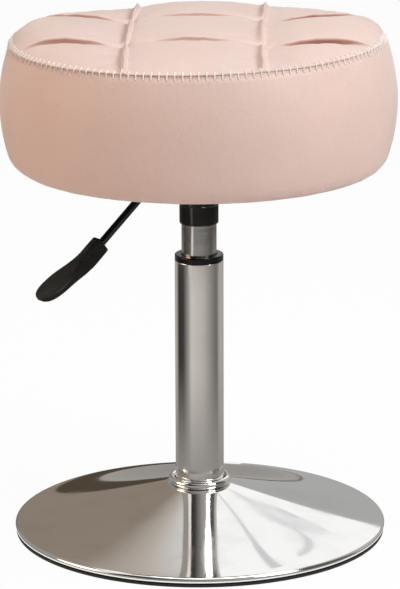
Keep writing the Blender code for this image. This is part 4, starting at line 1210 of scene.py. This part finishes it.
class STOOL_OT_seat_top(bpy.types.Operator):
    """Puffs up the tufted top, held at its sewn lines, and lays the pleats along it"""

    bl_idname = "stool.seat_top"
    bl_label = "Tufted top"

    def execute(self, context):
        seat = context.scene.stool_seat
        surface = self.swollen(context, seat)
        bm = tufted_grid(
            seat, TUFT_STEPS, TUFT_CROWDING,
            lambda x, y: surface(x, y) + pleat(seat, x, y) + gathers(seat, x, y),
        )
        # Painted shade for each point of the top, kept as a mask
        folds = [painted_shade_mask(seat, vert.co.x, vert.co.y) for vert in bm.verts]
        for vert in bm.verts:
            x, y = vert.co.x, vert.co.y
            wave = TOP_WAVE * noise.noise(Vector((x, y, 0)) * TOP_WAVE_PITCH)
            vert.co.z += wave * min(1.0, vert.co.z / seat.crown)
            vert.co.x += seat.tuft_shift * (1 - (x * x + y * y) / seat.seam_radius**2)
        close_below(bm, 0.0)
        # The wall under the seam gets a little painted shade
        folds += [SEAM_WALL_SHADE] * (len(bm.verts) - len(folds))
        place = Matrix.Translation((0, 0, seat.seam_z)) @ Matrix.Rotation(seat.tuft_turn, 4, "Z")
        bmesh.ops.transform(bm, matrix=place, verts=bm.verts)
        for vert in bm.verts:
            inside = from_rim(seat, vert.co.x, vert.co.y)
            if inside < CLIMB_REACH:
                vert.co = slid(seat, vert.co, seat.seam_z, (1 - inside / CLIMB_REACH) ** 2)
        made = piece("tufted_top", bm, "seat", leather_finish(seat), ["seat_top_pad"])
        add_painted_shade_attribute(made.data, folds)
        return {"FINISHED"}

    def formed(self, seat):
        return lambda x, y: panel_height(seat, x, y)

    def swollen(self, context, seat):
        """Blows up a slack copy of the top by simulation and gives its height as a function."""
        slack = tufted_grid(seat, BLANK_STEPS, 0.0, lambda x, y: slack_height(seat, x, y))
        held = [self.is_sewn(seat, vert) for vert in slack.verts]
        close_below(slack, -BLANK_DEPTH)
        held += [True] * (len(slack.verts) - len(held))
        bmesh.ops.recalc_face_normals(slack, faces=slack.faces)
        mesh = mesh_of("slack_top", slack)
        blank = linked("slack_top", mesh)
        sewn = blank.vertex_groups.new(name="sewn")
        sewn.add([i for i, fixed in enumerate(held) if fixed], 1.0, "REPLACE")
        cloth = blank.modifiers.new("filling", "CLOTH")
        cloth.settings.quality = FILLING_QUALITY
        cloth.settings.vertex_group_mass = sewn.name
        cloth.settings.use_pressure = True
        cloth.settings.uniform_pressure_force = FILLING_PRESSURE
        cloth.settings.shrink_min = -LEATHER_GIVE
        cloth.settings.effector_weights.gravity = 0.0
        cloth.point_cache.frame_end = FILLING_FRAMES
        for number in range(1, FILLING_FRAMES + 1):
            context.scene.frame_set(number)
        shaped = blank.evaluated_get(context.evaluated_depsgraph_get()).to_mesh()
        moves = [end.co - start.co for start, end in zip(mesh.vertices, shaped.vertices)]
        furthest = max(move.length for move in moves)
        if furthest < TOUCHING:
            raise RuntimeError("the filling did not move the top")
        before = tree_of(mesh)
        for vert, move in zip(mesh.vertices, moves):
            vert.co += move * (seat.swell / furthest)
        after = tree_of(mesh)
        context.scene.frame_set(1)
        bpy.data.objects.remove(blank)
        bpy.data.meshes.remove(mesh)

        def height(x, y):
            return slack_height(seat, x, y) + self.drop_onto(after, x, y) - self.drop_onto(before, x, y)

        return height

    def is_sewn(self, seat, vert):
        to_pleat, to_crease = to_lines(seat, vert.co.x, vert.co.y)
        return min(abs(to_pleat), abs(to_crease), from_rim(seat, vert.co.x, vert.co.y)) < TOUCHING

    def drop_onto(self, tree, x, y):
        """Height of a mesh at a place of the plan."""
        inward = 1 - 1e-4
        hit = tree.ray_cast(Vector((x * inward, y * inward, 1.0)), -UP)[0]
        if hit is None:
            raise RuntimeError("the top has a hole")
        return hit.z


def side_radius(seat, z):
    """Outer radius of the upholstered side: widest at mid height, drawn in above and below."""
    widest = seat.under_z + seat.widest
    if z >= widest:
        along = (z - widest) / (seat.seam_z - widest)
        return seat.radius - (seat.radius - seat.seam_radius) * along**SHOULDER_POWER
    return seat.radius - seat.draw_in * ((widest - z) / seat.widest) ** SIDE_POWER


def side_lean(seat):
    """How far the side leans in where the rounded lower edge starts, in radians."""
    along = (seat.widest - seat.corner) / seat.widest
    return math.atan(seat.draw_in * SIDE_POWER / seat.widest * along ** (SIDE_POWER - 1))


def lower_edge(seat):
    """Centre and radius of the rounded lower edge."""
    radius = seat.corner / (1 - math.sin(side_lean(seat)))
    across = side_radius(seat, seat.under_z + seat.corner) - radius * math.cos(side_lean(seat))
    return (across, seat.under_z + radius), radius


class STOOL_OT_seat_side(bpy.types.Operator):
    """Stretches the leather band round the side and under the board, drawn in at each stitch"""

    bl_idname = "stool.seat_side"
    bl_label = "Side band"

    def execute(self, context):
        seat = context.scene.stool_seat
        bm = turned(self.outer(seat) + self.inner(seat), STITCH_STEPS * seat.stitches)
        shoulder = seat.under_z + seat.widest
        folds = []
        for vert in bm.verts:
            radius, angle = math.hypot(vert.co.x, vert.co.y), math.atan2(vert.co.y, vert.co.x)
            on_edge = vert.co.z < seat.under_z + seat.corner
            if on_edge or radius > side_radius(seat, vert.co.z) - seat.cover / 2:
                out = Vector((math.cos(angle), math.sin(angle), 0))
                vert.co += out * self.unevenness(seat, vert.co, angle)
            # Painted shade, darker towards the lower edge where the side turns under the board
            folds.append(LOWER_EDGE_SHADE * math.exp(-(vert.co.z - seat.under_z) / LOWER_EDGE_SHADE_REACH))
            upper = (vert.co.z - shoulder) / (seat.seam_z - shoulder)
            if upper > 0:
                vert.co = slid(seat, vert.co, vert.co.z, upper**2)
        made = piece("side_band", bm, "seat", leather_finish(seat), ["seat_side_cover"])
        add_painted_shade_attribute(made.data, folds)
        return {"FINISHED"}

    def outer(self, seat):
        centre, radius = lower_edge(seat)
        seam, end = seat.seam_z - GAP, seat.under_z + seat.corner
        draws = [LIP_DRAW * (1 - i / LIP_STEPS) ** 2 for i in range(LIP_STEPS)]
        lip = [(side_radius(seat, seam) - draw, seam - LIP_SPACING * i) for i, draw in enumerate(draws)]
        start = seam - LIP_SPACING * LIP_STEPS
        heights = [start + (end - start) * i / SIDE_STEPS for i in range(SIDE_STEPS)]
        side = [(side_radius(seat, z), z) for z in heights]
        under = arc(centre, radius, -math.degrees(side_lean(seat)), -90, EDGE_STEPS)
        return lip + side + under + [(centre[0] - seat.turn_under, seat.under_z)]

    def inner(self, seat):
        centre, radius = lower_edge(seat)
        seam, end = seat.seam_z - GAP, seat.under_z + seat.corner
        heights = [end + (seam - end) * (i + 1) / SIDE_INNER_STEPS for i in range(SIDE_INNER_STEPS)]
        under = arc(centre, radius - seat.cover, -90, -math.degrees(side_lean(seat)), EDGE_INNER_STEPS)
        hem = [(centre[0] - seat.turn_under, seat.under_z + seat.cover)]
        return hem + under + [(side_radius(seat, z) - seat.cover, z) for z in heights]

    def unevenness(self, seat, place, angle):
        """Soft waves all over, a pull at each stitch and gathers at the lower edge."""
        waves = sum(height * noise.noise(place * pitch) for height, pitch in SIDE_WAVES)
        near_seam = math.exp(-(seat.seam_z - place.z) / STITCH_PULL_REACH)
        near_edge = math.exp(-(place.z - seat.under_z) / EDGE_GATHER_REACH)
        pull = STITCH_PULL * math.cos(seat.stitches * angle)
        round_edge = Vector((math.cos(angle), math.sin(angle), 0)) * EDGE_GATHER_PITCH
        gather = EDGE_GATHER * noise.noise(round_edge + 3 * UP)
        return waves - pull * near_seam + gather * near_edge


class STOOL_OT_stitching(bpy.types.Operator):
    """Sews the top to the side with whip stitches through two rows of needle holes"""

    bl_idname = "stool.stitching"
    bl_label = "Stitching"

    def execute(self, context):
        seat = context.scene.stool_seat
        graph = context.evaluated_depsgraph_get()
        top_tree = BVHTree.FromObject(bpy.data.objects["tufted_top"], graph)
        side_tree = BVHTree.FromObject(bpy.data.objects["side_band"], graph)
        threads, holes = bmesh.new(), bmesh.new()
        for i in range(seat.stitches):
            angle = 2 * math.pi * i / seat.stitches
            out = Vector((math.cos(angle), math.sin(angle), 0))
            wander = STITCH_WANDER * noise.noise(Vector((i * STITCH_WANDER_PITCH, 0, 0)))
            path = self.path(seat, out, top_tree, side_tree, wander)
            radii = [THREAD_RADIUS] * len(path)
            radii[0] = radii[-1] = THREAD_RADIUS * THREAD_END
            lofted(threads, along_path(path, radii), THREAD_SIDES)
            self.hole(holes, path[0], UP + out * HOLE_LEAN)
            self.hole(holes, path[-1], out)
        piece("whip_stitches", threads, "seat", thread_finish(seat))
        piece("needle_holes", holes, "seat", hole_finish(seat))
        return {"FINISHED"}

    def path(self, seat, out, top_tree, side_tree, wander):
        """From a hole in the top, over the seam, to a hole in the side."""
        edge = out * (seat.seam_radius + SEAM_CLEAR) + UP * (seat.seam_z + seat.edge)
        edge = slid(seat, edge, seat.seam_z, 1.0)
        start = self.on_top(top_tree, edge, out, STITCH_IN + wander)
        inner = self.on_top(top_tree, edge, out, STITCH_MIDWAY_IN)
        lower = self.on_side(side_tree, edge, out, STITCH_MIDWAY_DOWN)
        end = self.on_side(side_tree, edge, out, STITCH_DOWN + wander)
        lift = STITCH_LIFT - STITCH_SINK * eased_step(2 * out.y - STITCH_SINK_START)
        return [
            start - UP * STITCH_DIVE,
            start + UP * lift + out * STITCH_BEND,
            inner + UP * lift,
            edge + (out + UP) * lift * STITCH_OVER,
            lower + out * lift,
            end + out * lift + UP * STITCH_BEND,
            end - out * STITCH_DIVE,
        ]

    def hole(self, bm, place, away):
        """A dark cone at the end of a thread, facing away from the leather, painted with the shade inside a
        needle hole.
        """
        turn = away.to_track_quat("Z", "Y").to_matrix().to_4x4()
        middle = place + away.normalized() * (STITCH_DIVE + HOLE_PROUD)
        bmesh.ops.create_cone(
            bm, cap_ends=True, segments=HOLE_SIDES, radius1=HOLE_RADIUS, radius2=HOLE_MOUTH, depth=HOLE_DEPTH,
            matrix=Matrix.Translation(middle) @ turn,
        )

    def on_top(self, tree, edge, out, inward):
        hit = tree.ray_cast(edge - out * inward + UP, -UP)[0]
        if hit is None:
            raise RuntimeError("a stitch misses the top")
        return hit

    def on_side(self, tree, edge, out, below):
        hit = tree.ray_cast(edge + out - UP * below, -out)[0]
        if hit is None:
            raise RuntimeError("a stitch misses the side band")
        return hit


class STOOL_OT_underside(bpy.types.Operator):
    """Stretches the dust cloth under the board and staples the leather's edge"""

    bl_idname = "stool.underside"
    bl_label = "Underside"

    def execute(self, context):
        seat = context.scene.stool_seat
        self.dust_cloth()
        self.staples(seat)
        return {"FINISHED"}

    def dust_cloth(self):
        radius = reach("dust_cover")
        low, high = bottom("dust_cover"), top("dust_cover")
        bm = bmesh.new()
        bmesh.ops.create_circle(bm, cap_ends=True, segments=DISC_SIDES, radius=radius)
        for _ in range(CLOTH_RINGS):
            inside = [face for face in bm.faces if face.calc_center_median().length < CLOTH_CENTRE]
            bmesh.ops.inset_region(bm, faces=inside, thickness=radius / (CLOTH_RINGS + 1))
        for vert in bm.verts:
            held = (vert.co.length / radius) ** 4
            vert.co.z = CLOTH_WAVE * noise.noise(vert.co * CLOTH_WAVE_PITCH) * (1 - held)
        bmesh.ops.translate(bm, vec=(0, 0, (low + high) / 2), verts=bm.verts)
        bmesh.ops.solidify(bm, geom=bm.faces, thickness=(high - low) / 2)
        made = piece("dust_cloth", bm, "seat", dust_cloth_finish(), ["dust_cover"])

    def staples(self, seat):
        centre, _ = lower_edge(seat)
        ring = centre[0] - seat.turn_under / 2
        low = seat.under_z - STAPLE_PROUD
        half, wire = STAPLE_CROWN / 2, STAPLE_WIRE
        path = (
            (0, -half, STAPLE_LEG), (0, -half, wire), (0, wire - half, 0),
            (0, half - wire, 0), (0, half, wire), (0, half, STAPLE_LEG),
        )
        bm = bmesh.new()
        for i in range(STAPLES):
            lean = STAPLE_LEAN * noise.noise(Vector((i * STAPLE_LEAN_PITCH, 5.0, 0)))
            turn = Matrix.Rotation(2 * math.pi * (i + 0.5) / STAPLES, 4, "Z")
            tilt = Matrix.Translation((ring, 0, low)) @ Matrix.Rotation(lean, 4, "Z")
            points = [turn @ tilt @ Vector(point) for point in path]
            lofted(bm, along_path(points, [wire] * len(points)), THREAD_SIDES)
        piece("staples", bm, "seat", steel_finish())


# Pieces that keep their CAD shape


class STOOL_OT_hidden(bpy.types.Operator):
    """Gives the mechanism's pieces, which keep their shape, their finishes"""

    bl_idname = "stool.hidden"
    bl_label = "Mechanism"

    def execute(self, context):
        base, column = context.scene.stool_base, context.scene.stool_column
        looks = {
            "chrome": tube_chrome_finish(base),
            "steel": steel_finish(),
            "black_steel": gloss_black_finish(column),
            "rubber": rubber_finish(column),
            "plywood": plywood_finish(),
            "foam": foam_finish(),
        }
        slots = {part["node"]: part["material_slot"] for part in frame["record"]["subparts"]}
        for node, obj in frame["nodes"].items():
            if obj.hide_render or slots[node] not in looks:
                continue
            for slot in obj.material_slots:
                slot.material = looks[slots[node]]
        return {"FINISHED"}


# Stage

WHITE = (1.0, 1.0, 1.0)
SENSOR_WIDTH = 36.0
FLOOR_RADIUS = 6.0
FLOOR_GLOW = 0.95  # how far the floor is lifted to white where it is seen
# Each lamp's place, width and tint
SOFTBOXES = {
    "key": ((1.9, -1.4, 2.0), 1.3, (0.97, 0.985, 1.0)),
    "overhead": ((0.3, -0.2, 2.7), 2.2, (0.83, 0.96, 1.0)),
    "fill": ((-2.7, -0.5, 0.9), 1.6, (1.0, 0.65, 0.39)),
}
LAMP_AIM = Vector((0, 0, 0.4))
# The wall behind the stool, for the chrome: its tones, which get paler to the right and upwards
WALL_DISTANCE = 2.5
WALL_TONES = (
    (0.0, (0.26, 0.215, 0.175)), (0.3, (0.27, 0.222, 0.18)),
    (0.72, (0.48, 0.435, 0.39)), (1.0, (0.63, 0.61, 0.59)),
)
WALL_RIGHTWARDS = 1.17
WALL_UPWARDS = 0.32
WALL_START = 0.386
WALL_ACROSS, WALL_UP = (-1.6, 0.0), (0.3, 3.2)
# The plain cards beside the wall: their tone, and how far they go across and up
PLAIN_CARDS = {
    "low_furniture": ((0.075, 0.058, 0.040), (-1.6, -0.05), (0.0, 0.3)),
    "grey_furniture": ((0.41, 0.41, 0.41), (0.1, 1.6), (0.0, 0.95)),
}
# Bars across the bright side behind the stool: the (x, z) ends and the width of each
WINDOW_BARS = (
    ((0.60, 2.74), (0.48, 2.48), 0.05), ((0.48, 2.48), (0.35, 1.90), 0.06),
    ((0.72, 2.20), (0.72, 1.40), 0.016), ((0.70, 1.76), (0.55, 1.98), 0.05),
)
BAR_TONE = (0.62, 0.62, 0.64)
# How bright the floor looks in the chrome, by the angle from the camera's side towards +X
GROUND_TINT = (1.06, 1.0, 0.93)
GROUND_TONES = (
    (-180, 0.30), (-135, 0.42), (-112, 0.03), (-78, 0.05), (-53, 0.29), (-36, 0.57), (0, 0.50), (20, 0.45),
    (42, 0.33), (64, 0.22), (88, 0.14), (112, 0.40), (180, 0.34),
)
# A painted shadow of the stool on that floor: its tone, fading out to the tones above between these distances
GROUND_SHADOW_REACH, GROUND_SHADOW_TONE = (0.1, 0.7), 0.27
# How it darkens further off: from, to, how much, and the tone there
GROUND_FALLS = ((1.16, 1.22, 0.55, (0.22, 0.21, 0.20)), (1.30, 1.38, 0.92, (0.01, 0.01, 0.01)))
GROUND_SPAN, GROUND_Z = (0.2, 2.4), 0.0005
# A bright patch on it
GLINT_SECTOR, GLINT_SPAN, GLINT_Z, GLINT_STRENGTH = (-53, -39), (1.21, 2.4), 0.001, 1.5
# How bright the room in front looks, by the same angle: dark, with bright openings
ROOM_TONES = (
    (-150, 0.30), (-84, 0.30), (-78, 0.85), (-60, 0.85), (-54, 0.04), (-32, 0.05), (-8, 0.18), (20, 0.34),
    (48, 0.40), (54, 0.80), (58, 0.80), (64, 0.08), (104, 0.10), (112, 0.45), (150, 0.45),
)
ROOM_DISTANCE = 4.2
ROOM_FOOT, ROOM_HEAD = 0.01, 6.5


class STOOL_OT_stage(bpy.types.Operator):
    """Sets the camera, the pale floor, the soft lights and the cards that the chrome reflects"""

    bl_idname = "stool.stage"
    bl_label = "Stage"

    def execute(self, context):
        stage = context.scene.stool_stage
        context.scene.view_settings.view_transform = "Standard"
        self.camera(context, stage)
        self.world(context, stage)
        self.floor(stage)
        self.lights(stage)
        self.walls()
        self.ground()
        self.dark_room()
        return {"FINISHED"}

    def camera(self, context, stage):
        data = bpy.data.cameras.new("camera")
        data.sensor_width = SENSOR_WIDTH
        data.lens = stage.lens
        camera = linked("camera", data)
        forward = (Vector(stage.aim) - Vector(stage.camera)).normalized()
        right = forward.cross(UP).normalized()
        turn = Matrix((right, right.cross(forward), -forward)).transposed().to_4x4()
        camera.matrix_world = Matrix.Translation(stage.camera) @ turn @ Matrix.Rotation(stage.roll, 4, "Z")
        context.scene.camera = camera

    def world(self, context, stage):
        world = bpy.data.worlds.new("studio")
        world.use_nodes = True
        nodes = Nodes(world.node_tree)
        light = nodes.blend(nodes.seen(), stage.ambient, WHITE)
        nodes.feed(world.node_tree.nodes["Background"].inputs["Color"], light)
        context.scene.world = world

    def floor(self, stage):
        look = Finish("pale_floor")
        look.set(Base_Color=stage.floor, Roughness=0.9, Specular_IOR_Level=0.1)
        glow = look.node("ShaderNodeEmission", None, {"Color": WHITE})
        matt = Wire(look, look.shader.outputs[0])
        mixed = look.node("ShaderNodeMixShader", None, {0: look.seen() * FLOOR_GLOW, 1: matt, 2: glow})
        look.feed(look.tree.nodes["Material Output"].inputs["Surface"], mixed)
        bm = bmesh.new()
        bmesh.ops.create_circle(bm, cap_ends=True, segments=DISC_SIDES, radius=FLOOR_RADIUS)
        self.prop("floor", bm, look.material)

    def prop(self, name, bm, material):
        made = linked(name, mesh_of(name, bm))
        made.data.materials.append(material)
        return made

    def lights(self, stage):
        for name, (place, size, tint) in SOFTBOXES.items():
            data = bpy.data.lights.new(name, "AREA")
            data.shape = "DISK"
            data.size = size
            data.energy = getattr(stage, name)
            data.color = tint
            turn = (LAMP_AIM - Vector(place)).to_track_quat("-Z", "Y").to_matrix().to_4x4()
            linked(name, data).matrix_world = Matrix.Translation(place) @ turn

    def walls(self):
        """A taupe wall, paler upwards and to the right, low furniture beside it and slanting bars."""
        look = Finish("taupe_wall")
        along = WALL_RIGHTWARDS * look.axis("X") + WALL_UPWARDS * look.axis("Z") + WALL_START
        tone = look.node("ShaderNodeValToRGB", {"stops": WALL_TONES}, {0: along})
        self.card("taupe_wall", self.glow(look, tone), WALL_ACROSS, WALL_UP)
        for name, (tone, across, up) in PLAIN_CARDS.items():
            self.card(name, self.glow(Finish(name), tone), across, up)
        self.bars("window_bars", self.glow(Finish("window_bars"), BAR_TONE))

    def card(self, name, material, across, up):
        """An upright rectangle behind the stool."""
        bm = bmesh.new()
        middle = (sum(across) / 2, sum(up) / 2)
        self.panel(bm, middle, across[1] - across[0], up[1] - up[0], 0.0)
        self.only_in_gloss(self.prop(name, bm, material))

    def bars(self, name, material):
        """Slanting bars behind the stool."""
        bm = bmesh.new()
        for start, end, width in WINDOW_BARS:
            across, up = end[0] - start[0], end[1] - start[1]
            middle = (start[0] + across / 2, start[1] + up / 2)
            self.panel(bm, middle, width, math.hypot(across, up), math.atan2(across, up))
        self.only_in_gloss(self.prop(name, bm, material))

    def panel(self, bm, middle, width, height, lean):
        """Adds an upright rectangle at an (x, z) place behind the stool, leaning sideways."""
        verts = bmesh.ops.create_grid(bm, x_segments=1, y_segments=1, size=0.5)["verts"]
        bmesh.ops.scale(bm, vec=(width, height, 1.0), verts=verts)
        place = Matrix.Translation((middle[0], WALL_DISTANCE, middle[1]))
        turn = Matrix.Rotation(lean, 4, "Y") @ Matrix.Rotation(math.radians(90), 4, "X")
        bmesh.ops.transform(bm, matrix=place @ turn, verts=verts)

    def ground(self):
        """The room's floor as the column shows it: streaked, darker far away, and with a painted shadow of
        the stool near the base.
        """
        look = Finish("ground_tones")
        distance = look.node("ShaderNodeVectorMath", {"operation": "LENGTH"}, {0: look.place}, output="Value")
        # Painted shadow of the stool near the base
        near = toned(GROUND_TINT, GROUND_SHADOW_TONE)
        tone = look.blend(look.ramp(distance, *GROUND_SHADOW_REACH), near, self.round_tones(look, GROUND_TONES))
        for low, high, amount, far in GROUND_FALLS:
            tone = look.blend(look.ramp(distance, low, high) * amount, tone, far)
        self.swept("ground", self.glow(look, tone), (-180, 180), [(r, GROUND_Z) for r in GROUND_SPAN])
        glint = self.glow(Finish("ground_glint"), WHITE, GLINT_STRENGTH)
        self.swept("ground_glint", glint, GLINT_SECTOR, [(r, GLINT_Z) for r in GLINT_SPAN])

    def dark_room(self):
        """The unlit room on the camera's side."""
        look = Finish("dark_room")
        material = self.glow(look, self.round_tones(look, ROOM_TONES))
        sector = (ROOM_TONES[0][0], ROOM_TONES[-1][0])
        self.swept("dark_room", material, sector, [(ROOM_DISTANCE, z) for z in (ROOM_FOOT, ROOM_HEAD)])

    def round_tones(self, look, tones):
        """A tone for each angle round the stool, from the camera's side towards +X."""
        across, along = look.axis("X"), look.axis("Y")
        turn = across.maths("ARCTAN2", across, 0.0 - along) * (0.5 / math.pi) + 0.5
        stops = [(0.5 + degrees / 360, toned(GROUND_TINT, value)) for degrees, value in tones]
        return look.node("ShaderNodeValToRGB", {"stops": stops}, {0: turn})

    def swept(self, name, material, sector, line):
        """Spins a line of (radius, z) places between two angles from the camera's side, towards +X."""
        start, end = [math.radians(degrees) for degrees in sector]
        bm = bmesh.new()
        verts = [bm.verts.new((r * math.sin(start), -r * math.cos(start), z)) for r, z in line]
        edge = bm.edges.new(verts)
        bmesh.ops.spin(
            bm, geom=verts + [edge], cent=(0, 0, 0), axis=(0, 0, 1), angle=end - start, steps=CARD_STEPS
        )
        self.only_in_gloss(self.prop(name, bm, material))

    def glow(self, look, tone, strength=1.0):
        shine = look.node("ShaderNodeEmission", None, {"Color": tone, "Strength": strength})
        look.feed(look.tree.nodes["Material Output"].inputs["Surface"], shine)
        return look.material

    def only_in_gloss(self, card):
        """Lets only glossy rays see a card."""
        card.visible_camera = False
        card.visible_diffuse = False
        card.visible_shadow = False
        card.visible_transmission = False


class STOOL_PT_panel(bpy.types.Panel):
    """Lists the stool's operators and settings"""

    bl_label = "Vanity stool"
    bl_space_type = "VIEW_3D"
    bl_region_type = "UI"
    bl_category = "Stool"

    def draw(self, context):
        for operator in OPERATORS:
            self.layout.operator(operator.bl_idname)
        for name in GROUPS:
            group = getattr(context.scene, name)
            box = self.layout.box()
            for prop in group.bl_rna.properties:
                if not prop.is_readonly and prop.identifier != "name":
                    box.prop(group, prop.identifier)


OPERATORS = (
    STOOL_OT_stage, STOOL_OT_base, STOOL_OT_column, STOOL_OT_lever, STOOL_OT_seat_top, STOOL_OT_seat_side,
    STOOL_OT_stitching, STOOL_OT_underside, STOOL_OT_hidden,
)
GROUPS = {
    "stool_base": StoolBase, "stool_column": StoolColumn, "stool_lever": StoolLever,
    "stool_seat": StoolSeat, "stool_stage": StoolStage,
}


def register():
    for made in (*GROUPS.values(), *OPERATORS, STOOL_PT_panel):
        bpy.utils.register_class(made)
    for name, group in GROUPS.items():
        setattr(bpy.types.Scene, name, PointerProperty(type=group))


def unregister():
    for name in GROUPS:
        delattr(bpy.types.Scene, name)
    for made in (STOOL_PT_panel, *reversed(OPERATORS), *reversed(GROUPS.values())):
        bpy.utils.unregister_class(made)


def main():
    register()
    bpy.ops.stool.stage()
    bpy.ops.stool.base()
    bpy.ops.stool.column()
    bpy.ops.stool.lever()
    bpy.ops.stool.seat_top()
    bpy.ops.stool.seat_side()
    bpy.ops.stool.stitching()
    bpy.ops.stool.underside()
    bpy.ops.stool.hidden()


if __name__ == "__main__":
    main()
